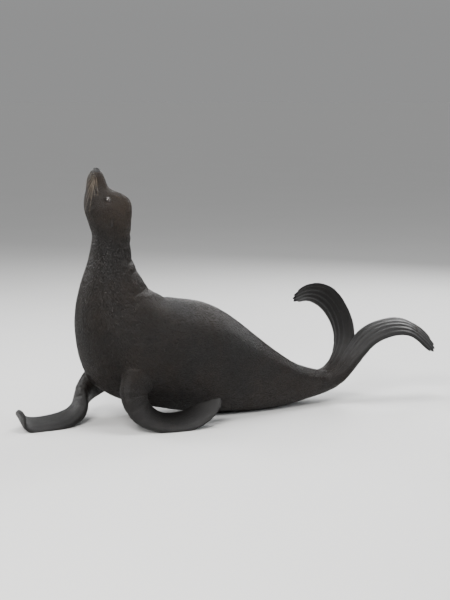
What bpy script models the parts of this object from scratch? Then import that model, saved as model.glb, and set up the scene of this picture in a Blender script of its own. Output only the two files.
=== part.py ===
"""Sea lion: a still, life-size museum model of an adult male.

The animal rests on its belly and both fore flippers, its neck stretched up and its hind flippers raised.
It faces -X, its left side is towards -Y, and the floor is z = 0.  Lengths are metres.

Each part of the body is a loft: rings of points carried along the animal, the head and trunk from the back
line to the belly line, the flippers from the trailing edge to the leading edge.  Parts that grow from the
body are cut back to its surface.
"""

import math

import bmesh
import bpy
from mathutils import Vector

# ---------------------------------------------------------------- driving dimensions
GAP = 0.0003                    # clear space between neighbouring parts
TRUNK_CLEARANCE, HEAD_CLEARANCE = 1.6 * GAP, 1.3 * GAP      # the same where the surface is curved
HEAD_LENGTH = 0.320             # nose to back of skull
HEAD_FROM_UPRIGHT = 12.8        # degrees between the head's axis and the vertical
HEAD_TURN = 20.0                # degrees the head is turned to its right
NOSE_TIP = (-0.737, 0.026, 1.356)
NOSE_PAD = 0.085                # share of the head's length that the bare nose takes
EYE_RADIUS = 0.021
EYE_SUNK = 0.62                 # how far the ball's centre lies under the skin, as a share of its radius
EYE_ALONG, EYE_UP = 0.540, 0.085      # place of the eye, as shares of the head's length
EYE_FACES = (0.86, -0.42, 0.28)       # direction of the eye, as shares of outwards, backwards and upwards
EAR_ALONG, EAR_UP = 0.860, 0.070
EAR_LENGTH, EAR_HALF_WIDTH, EAR_WALL, EAR_CURL = 0.046, 0.0085, 0.0028, 0.0042
EAR_POINTS = (0.42, 0.88, -0.20)      # direction of the ear flap, in the same shares
EAR_ROOT = 0.010                # depth of the ear's root under the skin
EAR_RIM = 0.0012                # half thickness that the flap keeps at its tip
TAIL_ROOT = (0.645, 0.0, 0.130)
TAIL_SLOPE = 0.58               # rise for each metre along
TAIL_LENGTH, TAIL_HALF_WIDTH, TAIL_TIP, TAIL_FLATNESS = 0.130, 0.025, 0.003, 0.62
NAIL_LENGTH, NAIL_WIDTH, NAIL_HEIGHT, NAIL_LIFT = 0.022, 0.008, 0.006, 0.002
NAIL_ALONG = 0.80               # place of the nails, as a share of the way down the flipper
NAIL_ACROSS = (-0.4, 0.0, 0.4)  # and across it, from the trailing to the leading edge
NAIL_SEAT = 1.20                # swelling of the digit that carries a nail

# How finely the surfaces are divided: points round a ring, and steps along.
RING = 32
HEAD_STEPS, NOSE_STEPS, NECK_STEPS, TRUNK_STEPS = 20, 4, 10, 22
FIN_RING, FIN_STEPS = 24, 18
FOOT_RING, FOOT_STEPS = 40, 12
TAIL_RING, EAR_RING, NAIL_RING = 12, 14, 8
SMALL_STEPS, NAIL_STEPS = 8, 4
EYE_SEGMENTS, EYE_ROWS = 16, 9
SEARCH_RING = 96                # points tried when a place on the head's side is looked up
TINY = 0.01                     # step, in stations, for finding a direction along a flipper

# The head in profile, as shares of its length: distance behind the nose tip, then the value.
HEAD_TOP = ((0.00, 0.015), (0.03, 0.058), (0.08, 0.092), (0.16, 0.114), (0.26, 0.128), (0.36, 0.150),
            (0.43, 0.215), (0.51, 0.330), (0.61, 0.420), (0.72, 0.445), (0.85, 0.425), (1.00, 0.380))
HEAD_BOTTOM = ((0.00, -0.010), (0.03, -0.055), (0.08, -0.110), (0.16, -0.168), (0.28, -0.225),
               (0.42, -0.285), (0.62, -0.330), (0.82, -0.322), (1.00, -0.308))
HEAD_WIDTH = ((0.00, 0.012), (0.03, 0.062), (0.08, 0.095), (0.16, 0.128), (0.28, 0.142), (0.38, 0.168),
              (0.48, 0.215), (0.60, 0.262), (0.75, 0.292), (0.88, 0.300), (1.00, 0.303))

# The body from the nape backwards: back line x, z; belly line x, z; half width; turn in degrees.
BODY = (
    (-0.559, 0.960, -0.764, 0.979, 0.096, 19.0),
    (-0.545, 0.858, -0.785, 0.872, 0.118, 16.0),
    (-0.492, 0.757, -0.828, 0.735, 0.164, 10.0),
    (-0.438, 0.696, -0.852, 0.600, 0.206, 5.0),
    (-0.345, 0.655, -0.842, 0.440, 0.252, 2.0),
    (-0.235, 0.639, -0.786, 0.245, 0.288, 0.0),
    (-0.140, 0.621, -0.650, 0.130, 0.302, 0.0),
    (-0.050, 0.585, -0.430, 0.062, 0.300, 0.0),
    (0.040, 0.528, -0.230, 0.022, 0.284, 0.0),
    (0.140, 0.450, -0.030, -0.002, 0.252, 0.0),
    (0.278, 0.341, 0.230, -0.012, 0.200, 0.0),
    (0.430, 0.240, 0.430, 0.014, 0.156, 0.0),
    (0.565, 0.190, 0.585, 0.046, 0.126, 0.0),
    (0.650, 0.170, 0.675, 0.074, 0.100, 0.0),
    (0.695, 0.150, 0.710, 0.100, 0.058, 0.0),
)
NECK_ENDS_AT = 3                # the station of BODY where the neck meets the trunk

# Flippers, root to tip: centre x, y, z; direction from the trailing to the leading edge x, y, z; reach of
# the leading edge; reach of the trailing edge; thickness.
FORE_LEFT = (
    (-0.490, -0.110, 0.390, -0.90, -0.30, 0.30, 0.115, 0.125, 0.130),
    (-0.585, -0.222, 0.300, -0.93, -0.25, 0.10, 0.096, 0.108, 0.112),
    (-0.650, -0.282, 0.205, -0.95, -0.25, -0.12, 0.080, 0.086, 0.086),
    (-0.615, -0.310, 0.102, -0.75, -0.50, -0.45, 0.074, 0.082, 0.064),
    (-0.500, -0.322, 0.040, -0.20, -0.88, -0.42, 0.078, 0.096, 0.046),
    (-0.370, -0.330, 0.038, 0.05, -0.88, -0.44, 0.074, 0.090, 0.034),
    (-0.268, -0.340, 0.084, 0.25, -0.80, -0.50, 0.060, 0.076, 0.021),
    (-0.192, -0.340, 0.150, 0.45, -0.74, -0.48, 0.036, 0.048, 0.011),
)
FORE_RIGHT = (
    (-0.480, 0.110, 0.330, -0.60, 0.20, 0.75, 0.115, 0.125, 0.130),
    (-0.610, 0.185, 0.240, -0.65, -0.20, 0.72, 0.116, 0.104, 0.124),
    (-0.746, 0.168, 0.146, -0.55, -0.70, 0.45, 0.108, 0.090, 0.108),
    (-0.838, 0.098, 0.060, -0.20, -0.96, 0.00, 0.104, 0.088, 0.078),
    (-0.955, 0.034, 0.024, -0.05, -0.98, -0.17, 0.110, 0.098, 0.050),
    (-1.080, 0.008, 0.022, 0.00, -0.980, -0.20, 0.104, 0.096, 0.038),
    (-1.160, 0.000, 0.045, 0.08, -0.920, -0.39, 0.094, 0.092, 0.031),
    (-1.190, -0.004, 0.110, 0.30, -0.790, -0.54, 0.078, 0.078, 0.018),
)
HIND_RIGHT = (
    (0.500, 0.055, 0.118, -0.10, 0.98, 0.10, 0.050, 0.044, 0.094),
    (0.672, 0.080, 0.124, -0.05, 0.98, 0.10, 0.052, 0.046, 0.084),
    (0.778, 0.094, 0.218, -0.15, 0.98, 0.05, 0.060, 0.066, 0.070),
    (0.810, 0.107, 0.365, -0.30, 0.93, 0.00, 0.074, 0.092, 0.048),
    (0.766, 0.122, 0.508, -0.45, 0.82, -0.25, 0.086, 0.082, 0.034),
    (0.686, 0.135, 0.590, -0.32, 0.74, -0.52, 0.094, 0.090, 0.026),
    (0.594, 0.144, 0.610, 0.05, 0.70, -0.66, 0.092, 0.088, 0.019),
    (0.506, 0.148, 0.578, 0.38, 0.62, -0.62, 0.076, 0.072, 0.011),
)
HIND_LEFT = (
    (0.500, -0.055, 0.118, -0.10, -0.98, 0.10, 0.050, 0.044, 0.094),
    (0.658, -0.080, 0.132, 0.05, -0.98, 0.05, 0.054, 0.046, 0.086),
    (0.756, -0.096, 0.260, 0.20, -0.95, -0.10, 0.070, 0.066, 0.064),
    (0.844, -0.115, 0.370, 0.20, -0.90, -0.36, 0.080, 0.078, 0.046),
    (0.965, -0.138, 0.420, 0.05, -0.90, -0.42, 0.086, 0.084, 0.034),
    (1.075, -0.158, 0.418, 0.05, -0.86, -0.50, 0.092, 0.088, 0.026),
    (1.172, -0.172, 0.360, 0.00, -0.76, -0.65, 0.102, 0.092, 0.019),
    (1.250, -0.180, 0.286, -0.20, -0.72, -0.66, 0.094, 0.084, 0.011),
)

# colour, roughness
COAT = ((0.030, 0.021, 0.016), 0.34)
BARE_SKIN = ((0.022, 0.020, 0.020), 0.46)
NOSE_SKIN = ((0.012, 0.011, 0.011), 0.28)
EYE_GLOSS = ((0.008, 0.006, 0.005), 0.04)
HORN = ((0.060, 0.048, 0.038), 0.38)


# ---------------------------------------------------------------- curves
def smooth_value(stations, at):
    """Values at a distance `at` on the smooth curve through stations, each a (distance, values) pair."""
    last = len(stations) - 1
    k = 0
    while k < last - 1 and at > stations[k + 1][0]:
        k += 1
    (u0, a), (u1, b) = stations[k], stations[k + 1]
    before = stations[max(k - 1, 0)]
    after = stations[min(k + 2, last)]
    span = u1 - u0
    t = (at - u0) / span
    h00 = (1 + 2 * t) * (1 - t) ** 2
    h10 = t * (1 - t) ** 2
    h01 = t * t * (3 - 2 * t)
    h11 = t * t * (t - 1)
    values = []
    for i in range(len(a)):
        slope_a = (b[i] - before[1][i]) / (u1 - before[0])
        slope_b = (after[1][i] - a[i]) / (after[0] - u0)
        values.append(h00 * a[i] + h10 * span * slope_a + h01 * b[i] + h11 * span * slope_b)
    return values


def profile(pairs, at):
    return smooth_value([(u, (v,)) for u, v in pairs], at)[0]


def bump(distance, reach):
    """A smooth hill, 1 at distance 0 and next to nothing beyond twice the reach."""
    return math.exp(-((distance / reach) ** 2))


def signed_power(value, power):
    return math.copysign(abs(value) ** power, value)


# ---------------------------------------------------------------- the head's own frame
def head_frame():
    """Nose tip, then the unit directions backwards, upwards (to the crown) and to the left side."""
    tilt = math.radians(HEAD_FROM_UPRIGHT)
    turn = math.radians(HEAD_TURN)
    level = Vector((math.cos(turn), -math.sin(turn), 0.0))
    back = level * math.sin(tilt) - Vector((0, 0, 1)) * math.cos(tilt)
    crown = level * math.cos(tilt) + Vector((0, 0, 1)) * math.sin(tilt)
    left = Vector((-math.sin(turn), -math.cos(turn), 0.0))
    return Vector(NOSE_TIP), back, crown, left


def head_ring(along):
    """Ring values at a share of the head's length: back, belly, side, half width, squareness, sag."""
    nose, back, crown, left = head_frame()
    centre = nose + back * (along * HEAD_LENGTH)
    top = centre + crown * (profile(HEAD_TOP, along) * HEAD_LENGTH)
    bottom = centre + crown * (profile(HEAD_BOTTOM, along) * HEAD_LENGTH)
    width = profile(HEAD_WIDTH, along) * HEAD_LENGTH
    square = 2.0 + 0.55 * bump(along - 0.22, 0.22)
    sag = 0.10 + 0.16 * bump(along - 0.62, 0.22)
    return [*top, *bottom, *left, width, square, sag]


def body_ring(back_x, back_z, belly_x, belly_z, half_width, turn):
    """Ring values of one station of BODY, turned about the vertical through its middle."""
    turn = math.radians(turn)
    middle = Vector(((back_x + belly_x) / 2, 0.0, (back_z + belly_z) / 2))
    reach = (back_x - belly_x) / 2
    rise = (back_z - belly_z) / 2
    half = Vector((reach * math.cos(turn), -reach * math.sin(turn), rise))
    side = Vector((-math.sin(turn), -math.cos(turn), 0.0))
    return [*(middle + half), *(middle - half), *side, half_width, 2.08, 0.10]


def ring_points(values, count, relief=None):
    """Points of one ring, starting on the back line and going round by the left side."""
    top, bottom, side = Vector(values[0:3]), Vector(values[3:6]), Vector(values[6:9]).normalized()
    width, square, sag = values[9:12]
    middle = (top + bottom) / 2
    half = (top - bottom) / 2
    points = []
    for k in range(count):
        angle = 2 * math.pi * k / count
        up = signed_power(math.cos(angle), 2 / square)
        out = signed_power(math.sin(angle), 2 / square)
        point = middle + half * up + side * (out * width * (1 - sag * up))
        if relief:
            point += (point - middle).normalized() * relief(math.degrees(angle))
        points.append(point)
    return points


def face_relief(along):
    """Swellings of the face at a share of the head's length, as a function of the angle from the crown."""
    def relief(angle):
        angle = min(angle, 360 - angle)
        pad = 0.030 * bump(along - 0.135, 0.075) * bump(angle - 105, 32)
        brow = 0.022 * bump(along - 0.50, 0.060) * bump(angle - 52, 22)
        orbit = -0.022 * bump(along - 0.455, 0.070) * bump(angle - 82, 20)
        cheek = 0.018 * bump(along - 0.66, 0.100) * bump(angle - 112, 30)
        chin = 0.012 * bump(along - 0.10, 0.060) * bump(angle - 180, 40)
        throat = -0.012 * bump(along - 0.34, 0.090) * bump(angle - 180, 45)
        return (pad + brow + orbit + cheek + chin + throat) * HEAD_LENGTH
    return relief


def body_relief(at):
    """Swellings of the body at a place along BODY: shoulder, the hollow behind it, breast, spine, hip."""
    def relief(angle):
        angle = min(angle, 360 - angle)
        shoulder = 0.016 * bump(at - 6.6, 1.1) * bump(angle - 78, 34)
        armpit = -0.010 * bump(at - 8.6, 0.9) * bump(angle - 105, 30)
        breast = 0.010 * bump(at - 5.6, 1.2) * bump(angle - 150, 30)
        spine = -0.006 * bump(at - 9.5, 3.0) * bump(angle, 16)
        hip = 0.008 * bump(at - 12.4, 0.9) * bump(angle - 70, 30)
        return shoulder + armpit + breast + spine + hip
    return relief


# ---------------------------------------------------------------- making objects
def add_object(name, bm, collection, material=None):
    bmesh.ops.recalc_face_normals(bm, faces=bm.faces)
    mesh = bpy.data.meshes.new(name)
    bm.to_mesh(mesh)
    bm.free()
    for polygon in mesh.polygons:
        polygon.use_smooth = True
    thing = bpy.data.objects.new(name, mesh)
    collection.objects.link(thing)
    if material:
        mesh.materials.append(material)
    return thing


def loft(rings):
    """A closed skin over a row of rings, with flat ends."""
    bm = bmesh.new()
    rows = [[bm.verts.new(point) for point in ring] for ring in rings]
    count = len(rows[0])
    for here, there in zip(rows, rows[1:]):
        for k in range(count):
            bm.faces.new((here[k], here[(k + 1) % count], there[(k + 1) % count], there[k]))
    bm.faces.new(rows[0])
    bm.faces.new(rows[-1])
    return bm


def rest_on_floor(rings):
    for ring in rings:
        for point in ring:
            point.z = max(point.z, 0.0)
    return rings


def make_material(name, look):
    colour, roughness = look
    material = bpy.data.materials.new(name)
    material.use_nodes = True
    shader = material.node_tree.nodes["Principled BSDF"]
    shader.inputs["Base Color"].default_value = (*colour, 1.0)
    shader.inputs["Roughness"].default_value = roughness
    shader.inputs["Metallic"].default_value = 0.0
    return material


def hide_cutter(thing):
    thing.hide_render = True
    thing.display_type = 'WIRE'


def swollen_copy(thing, amount, cutters):
    """A cutter a little larger all round than `thing`, so that what it cuts keeps clear of it."""
    mesh = thing.data.copy()
    copy = bpy.data.objects.new(thing.name + "_cutter", mesh)
    cutters.objects.link(copy)
    normals = [vertex.normal.copy() for vertex in mesh.vertices]
    for vertex, normal in zip(mesh.vertices, normals):
        vertex.co += normal * amount
    hide_cutter(copy)
    return copy


def cut(thing, cutter):
    modifier = thing.modifiers.new("cut by " + cutter.name, 'BOOLEAN')
    modifier.operation = 'DIFFERENCE'
    modifier.solver = 'EXACT'
    modifier.object = cutter


# ---------------------------------------------------------------- nose, head, neck and trunk
def spaced(start, end, steps, ease=1.0):
    return [start + (end - start) * (k / steps) ** ease for k in range(steps + 1)]


def make_nose_and_head(parts, materials):
    nose_cut = GAP / HEAD_LENGTH / 2
    nose_places = spaced(0.004, NOSE_PAD - nose_cut, NOSE_STEPS, 1.6)
    head_places = spaced(NOSE_PAD + nose_cut, 1.0, HEAD_STEPS)
    nose_rings = [ring_points(head_ring(a), RING, face_relief(a)) for a in nose_places]
    head_rings = [ring_points(head_ring(a), RING, face_relief(a)) for a in head_places]
    nose = add_object("nose", loft(nose_rings), parts, materials["nose"])
    head = add_object("head", loft(head_rings), parts, materials["coat"])
    return nose, head


def body_stations():
    """Stations from the back of the head to the root of the tail, numbered from -1 inside the head."""
    stations = [(-1.0, head_ring(0.90)), (0.0, head_ring(1.0))]
    for k, station in enumerate(BODY):
        stations.append((k + 1.0, body_ring(*station)))
    return stations


def make_neck_and_trunk(parts, materials):
    stations = body_stations()
    seam = NECK_ENDS_AT + 1.0
    tail_root = float(len(BODY))

    def rings(start, end, steps):
        places = spaced(start, end, steps)
        made = [ring_points(smooth_value(stations, at), RING, body_relief(at)) for at in places]
        return rest_on_floor(made)

    neck_rings = rings(0.0, seam, NECK_STEPS)
    for point in neck_rings[0]:
        point += head_frame()[1] * GAP
    trunk_rings = rings(seam, tail_root, TRUNK_STEPS)
    back = trunk_rings[0][0] - trunk_rings[0][RING // 2]
    side = trunk_rings[0][RING // 4] - trunk_rings[0][3 * RING // 4]
    along = back.cross(side).normalized()
    if along.x < 0:
        along = -along
    for point in trunk_rings[0]:
        point += along * GAP
    neck = add_object("neck", loft(neck_rings), parts, materials["coat"])
    trunk = add_object("trunk", loft(trunk_rings), parts, materials["coat"])
    return neck, trunk


# ---------------------------------------------------------------- flippers and tail
def fin_frame(numbered, at):
    """Station values and the unit directions along, across and out of the blade, at a place on a flipper."""
    values = smooth_value(numbered, at)
    ahead = smooth_value(numbered, at + TINY)
    behind = smooth_value(numbered, at - TINY)
    axis = (Vector(ahead[0:3]) - Vector(behind[0:3])).normalized()
    chord = Vector(values[3:6])
    chord = (chord - axis * chord.dot(axis)).normalized()
    return values, axis, chord, axis.cross(chord).normalized()


def fin_loft(stations, count, steps, tip_reach, ridges, evenness):
    """A flipper: rings round a bent axis.  tip_reach(c) is how far the tip reaches at a place c across the
    blade, from -1 at the trailing edge to 1 at the leading edge; ridges(c) is how much the digits swell
    there.  evenness 0 crowds a ring's points at the edges, and 1 spaces them evenly across the blade."""
    numbered = [(float(k), station) for k, station in enumerate(stations)]
    end = float(len(stations) - 1)
    rows = []
    for step in range(steps + 1):
        share = step / steps
        ring = []
        for k in range(count):
            angle = 2 * math.pi * k / count
            across = (1 - evenness) * math.cos(angle) + evenness * (abs(4 * k / count - 2) - 1)
            rise = math.copysign(math.sqrt(max(1 - across * across, 0.0)), math.sin(angle))
            at = end * share * (1 - (1 - tip_reach(across)) * share ** 3)
            values, axis, chord, normal = fin_frame(numbered, at)
            lead, trail, thickness = values[6:9]
            reach = lead if across > 0 else trail
            blade = min(1.0, 1.6 * share)
            fullness = 1 + blade * lead_fullness(across)
            swell = 1 + blade * ridges(across)
            height = thickness / 2 * rise * fullness * swell
            ring.append(Vector(values[0:3]) + chord * (across * reach) + normal * height)
        rows.append(ring)
    rest_on_floor(rows)
    bm = bmesh.new()
    rows = [[bm.verts.new(point) for point in ring] for ring in rows]
    for here, there in zip(rows, rows[1:]):
        for k in range(count):
            bm.faces.new((here[k], here[(k + 1) % count], there[(k + 1) % count], there[k]))
    bm.faces.new(rows[0])
    tip = rows[-1]
    bm.faces.new((tip[0], tip[1], tip[-1]))
    for k in range(1, count // 2 - 1):
        bm.faces.new((tip[k], tip[k + 1], tip[count - k - 1], tip[count - k]))
    bm.faces.new((tip[count // 2 - 1], tip[count // 2], tip[count // 2 + 1]))
    return bm


def lead_fullness(across):
    """A flipper is thicker towards its leading edge."""
    return 0.38 * across - 0.10


def fore_tip(across):
    """The first digits are the longest; the tip is rounded and slants back to the trailing edge."""
    return 1.0 - 0.095 * (across - 0.30) ** 2


def digit_wave(across, digits):
    """1 on the middle of each digit and -1 between two digits."""
    return math.cos(2 * math.pi * (digits * (across + 1) / 2 - 0.5))


def fore_ridges(across):
    return 0.10 * digit_wave(across, 4.5)


def hind_tip(across):
    """Five rounded lobes with shallow notches between them, the outer ones falling back round the tip."""
    place = 5 * (across + 1) / 2
    off_digit = 2 * (place - math.floor(min(place, 4.999))) - 1
    return 0.970 + 0.030 * (1 - off_digit ** 2) - 0.105 * abs(across) ** 2.6


def hind_ridges(across):
    return 0.20 * digit_wave(across, 5)


def make_flippers(parts, materials, trunk_cutter):
    fins = {}
    for name, stations in (("fore_flipper_left", FORE_LEFT), ("fore_flipper_right", FORE_RIGHT)):
        blade = fin_loft(stations, FIN_RING, FIN_STEPS, fore_tip, fore_ridges, 0.3)
        fins[name] = add_object(name, blade, parts, materials["skin"])
    for name, stations in (("hind_flipper_left", HIND_LEFT), ("hind_flipper_right", HIND_RIGHT)):
        blade = fin_loft(stations, FOOT_RING, FOOT_STEPS, hind_tip, hind_ridges, 0.85)
        fins[name] = add_object(name, blade, parts, materials["skin"])
    for fin in fins.values():
        cut(fin, trunk_cutter)
    return fins


def make_tail(parts, materials, trunk_cutter):
    root = Vector(TAIL_ROOT)
    along = Vector((1.0, 0.0, TAIL_SLOPE)).normalized()
    above = Vector((-TAIL_SLOPE, 0.0, 1.0)).normalized()
    rings = []
    for share in spaced(0.0, 1.0, SMALL_STEPS):
        centre = root + along * (share * TAIL_LENGTH)
        half_width = TAIL_HALF_WIDTH * (1 - share ** 2.4) + TAIL_TIP
        up = above * (half_width * TAIL_FLATNESS)
        rings.append(ring_points([*(centre + up), *(centre - up), 0, -1, 0, half_width, 2.0, 0.0], TAIL_RING))
    tail = add_object("tail", loft(rings), parts, materials["coat"])
    cut(tail, trunk_cutter)
    return tail


# ---------------------------------------------------------------- eyes, ears, nails
def head_surface(along, up, side):
    """Point on one side of the head, 1 left or -1 right, at shares of its length along and above its axis."""
    nose, back, crown, left = head_frame()
    ring = ring_points(head_ring(along), SEARCH_RING, face_relief(along))
    centre = nose + back * (along * HEAD_LENGTH)
    wanted = up * HEAD_LENGTH
    same_side = [p for p in ring if (p - centre).dot(left) * side > 0]
    return min(same_side, key=lambda p: abs((p - centre).dot(crown) - wanted))


def head_direction(shares, side):
    """Unit direction from shares of outwards, backwards and upwards, on one side of the head."""
    nose, back, crown, left = head_frame()
    outward, backward, upward = shares
    return (left * (side * outward) + back * backward + crown * upward).normalized()


def eyeball(name, centre, facing, radius, home, material):
    bm = bmesh.new()
    bmesh.ops.create_uvsphere(bm, u_segments=EYE_SEGMENTS, v_segments=EYE_ROWS, radius=radius)
    bmesh.ops.rotate(bm, verts=bm.verts, matrix=facing.to_track_quat('Z', 'Y').to_matrix())
    bmesh.ops.translate(bm, verts=bm.verts, vec=centre)
    return add_object(name, bm, home, material)


def make_eyes(parts, cutters, materials, head):
    for name, side in (("eye_left", 1), ("eye_right", -1)):
        facing = head_direction(EYE_FACES, side)
        centre = head_surface(EYE_ALONG, EYE_UP, side) - facing * (EYE_SUNK * EYE_RADIUS)
        eyeball(name, centre, facing, EYE_RADIUS, parts, materials["eye"])
        socket = eyeball(name + "_socket", centre, facing, EYE_RADIUS + GAP, cutters, materials["eye"])
        hide_cutter(socket)
        cut(head, socket)


def make_ears(parts, materials, head_cutter):
    crown, left = head_frame()[2:4]
    for name, side in (("ear_left", 1), ("ear_right", -1)):
        direction = head_direction(EAR_POINTS, side)
        flat = (crown - direction * crown.dot(direction)).normalized()
        thick = direction.cross(flat).normalized()
        if thick.dot(left) * side < 0:
            thick = -thick
        root = head_surface(EAR_ALONG, EAR_UP, side) - direction * EAR_ROOT
        rings = []
        for share in spaced(0.0, 1.0, SMALL_STEPS):
            half = EAR_HALF_WIDTH * math.sqrt(max(1 - share ** 2.4, 0.0)) + EAR_RIM
            wall = EAR_WALL * (1 - 0.45 * share)
            centre = root + direction * (share * (EAR_LENGTH + EAR_ROOT))
            ring = []
            for k in range(EAR_RING):
                angle = 2 * math.pi * k / EAR_RING
                wide = half * math.cos(angle)
                hollow = 1 - (wide / (EAR_HALF_WIDTH + EAR_RIM)) ** 2
                curl = EAR_CURL * (1 - 0.5 * share) * hollow
                ring.append(centre + flat * wide + thick * (wall * math.sin(angle) + curl))
            rings.append(ring)
        ear = add_object(name, loft(rings), parts, materials["skin"])
        cut(ear, head_cutter)


def nail_loft(seat, axis, chord, normal, grow):
    """A nail lying along a digit, its tip a little raised; `grow` swells it for the bed that it lies in."""
    length = NAIL_LENGTH + 2 * grow
    rings = []
    for share in spaced(0.0, 1.0, NAIL_STEPS):
        size = math.sqrt(1 - (1.12 * share) ** 2.6) if share < 0.88 else 0.16
        middle = seat + axis * ((share - 0.5) * length) + normal * (NAIL_LIFT * share)
        up = normal * (NAIL_HEIGHT / 2 * size + grow)
        half_width = NAIL_WIDTH / 2 * size + grow
        rings.append(ring_points([*(middle + up), *(middle - up), *chord, half_width, 2.0, 0.0], NAIL_RING))
    return loft(rings)


def make_nails(parts, cutters, materials, fins):
    """Three nails on the back of each hind flipper, on its middle digits, well short of the tip."""
    for side, stations in (("left", HIND_LEFT), ("right", HIND_RIGHT)):
        fin = fins["hind_flipper_" + side]
        numbered = [(float(k), station) for k, station in enumerate(stations)]
        values, axis, chord, normal = fin_frame(numbered, NAIL_ALONG * (len(stations) - 1))
        if normal.z < 0:
            normal = -normal
        lead, trail, thickness = values[6:9]
        for number, across in enumerate(NAIL_ACROSS, start=1):
            reach = lead if across > 0 else trail
            height = thickness / 2 * NAIL_SEAT * (1 + lead_fullness(across)) * math.sqrt(1 - across * across)
            seat = Vector(values[0:3]) + chord * (across * reach) + normal * height
            name = "nail_{}_{}".format(side, number)
            add_object(name, nail_loft(seat, axis, chord, normal, 0.0), parts, materials["horn"])
            bed_shape = nail_loft(seat, axis, chord, normal, GAP)
            bed = add_object(name + "_bed", bed_shape, cutters, materials["horn"])
            hide_cutter(bed)
            cut(fin, bed)


# ---------------------------------------------------------------- the whole animal
def stand_on_origin(collections):
    """Move everything so that the origin is the middle of the animal's box, on the floor."""
    bpy.context.view_layer.update()
    graph = bpy.context.evaluated_depsgraph_get()
    points = []
    for thing in collections[0].objects:
        shown = thing.evaluated_get(graph)
        points += [vertex.co.copy() for vertex in shown.data.vertices]
    middle_x = (min(p.x for p in points) + max(p.x for p in points)) / 2
    middle_y = (min(p.y for p in points) + max(p.y for p in points)) / 2
    for collection in collections:
        for thing in collection.objects:
            thing.location = (-middle_x, -middle_y, 0.0)


def main():
    for thing in list(bpy.data.objects):
        bpy.data.objects.remove(thing, do_unlink=True)
    parts = bpy.data.collections.new("sea_lion")
    cutters = bpy.data.collections.new("sea_lion_cutters")
    for collection in (parts, cutters):
        bpy.context.scene.collection.children.link(collection)
    looks = {"coat": COAT, "skin": BARE_SKIN, "nose": NOSE_SKIN, "eye": EYE_GLOSS, "horn": HORN}
    materials = {name: make_material(name, look) for name, look in looks.items()}
    nose, head = make_nose_and_head(parts, materials)
    neck, trunk = make_neck_and_trunk(parts, materials)
    trunk_cutter = swollen_copy(trunk, TRUNK_CLEARANCE, cutters)
    head_cutter = swollen_copy(head, HEAD_CLEARANCE, cutters)
    fins = make_flippers(parts, materials, trunk_cutter)
    make_tail(parts, materials, trunk_cutter)
    make_ears(parts, materials, head_cutter)
    make_nails(parts, cutters, materials, fins)
    make_eyes(parts, cutters, materials, head)
    stand_on_origin((parts, cutters))


main()
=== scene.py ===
import math

import bmesh
import bpy
import numpy as np
from mathutils import Matrix, Vector
from mathutils.bvhtree import BVHTree


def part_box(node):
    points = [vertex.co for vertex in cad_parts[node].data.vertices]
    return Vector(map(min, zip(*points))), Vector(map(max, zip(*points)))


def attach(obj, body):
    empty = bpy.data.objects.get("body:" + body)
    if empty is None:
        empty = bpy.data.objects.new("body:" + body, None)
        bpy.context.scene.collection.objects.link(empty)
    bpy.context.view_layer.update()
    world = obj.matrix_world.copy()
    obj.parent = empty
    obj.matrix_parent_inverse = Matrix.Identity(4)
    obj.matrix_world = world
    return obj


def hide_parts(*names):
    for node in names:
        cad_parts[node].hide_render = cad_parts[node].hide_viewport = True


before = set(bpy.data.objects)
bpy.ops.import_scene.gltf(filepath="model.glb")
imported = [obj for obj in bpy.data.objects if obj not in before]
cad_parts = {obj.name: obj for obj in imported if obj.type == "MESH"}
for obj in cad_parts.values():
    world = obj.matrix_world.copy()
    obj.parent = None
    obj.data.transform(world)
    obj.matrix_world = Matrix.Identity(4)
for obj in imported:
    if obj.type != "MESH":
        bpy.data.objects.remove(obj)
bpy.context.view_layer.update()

# A life-size sea lion: one skin over all the flesh, a short wet coat of joined tufts, and eyes, ears, nails
# and whiskers of their own.  The animal faces -X, its left side is towards -Y, and lengths are metres.

# ------ the animal's own sizes
HEAD_LENGTH = 0.320             # nose to back of skull
HEAD_FROM_UPRIGHT = 12.8        # degrees between the head's axis and the vertical
EYE_RADIUS = 0.021
EYE_BEHIND_NOSE, EYE_ABOVE_AXIS = 0.1783, 0.0235        # the eyeballs' centres, from the nose tip
EYE_FACES = (0.86, -0.42, 0.28)         # shares of outwards, backwards and upwards
LID_HALF_LENGTH, LID_HALF_HEIGHT, LID_DEPTH = 0.0150, 0.0094, 0.0012
COAT_DEPTH = 0.0034             # the coat's depth on the body
FACE_DEPTH = 0.0010
EYE_EASING = 14                 # rounds of smoothing of the skin round the lids
EYE_RING = (0.0052, 0.022)      # how far from the lids' edge it is smoothed
EYE_REACH = 0.040               # how far from an eyeball's centre the lids shape the skin
BEHIND_LID = 0.0032             # how far behind the ball's surface the skin lies inside the opening
SEAM_SWELL = 0.0008             # closes the hairline gaps between the solids
TAIL_SWELL, ROOT_SWELL = 0.0042, 0.0022         # what smoothing takes from the tail and the flippers' roots
TAIL_BLEND = (0.06, 0.17)       # from the tail's tip, where its smoothing gives way to the body's
SKIN_VOXEL = 0.0033
SKIN_FACES = 104000             # triangles of the skin before the face is refined
ROOT_REACH = 0.027              # width of the fillet round a flipper's root
ROOT_ROUNDS, SKIN_ROUNDS = 60, 6        # rounds of smoothing of the body and roots, then of all the skin
SEED = 20

BODY_FLESH = ("nose", "head", "neck", "trunk", "tail")
FIN_FLESH = ("fore_flipper_left", "fore_flipper_right", "hind_flipper_left", "hind_flipper_right")
EYES = ("eye_left", "eye_right")
SIDES = (("left", 1), ("right", -1))
BODY_SHARP, FIN_SHARP = 48, 170         # degrees between facets above which an edge of the solids stays
CAGE_ROUNDS, CAGE_SHARE = 4, 0.8
BODY_REACH, FIN_REACH = 0.003, 0.040    # how far the body's and the flippers' cages are let out at most

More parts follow.
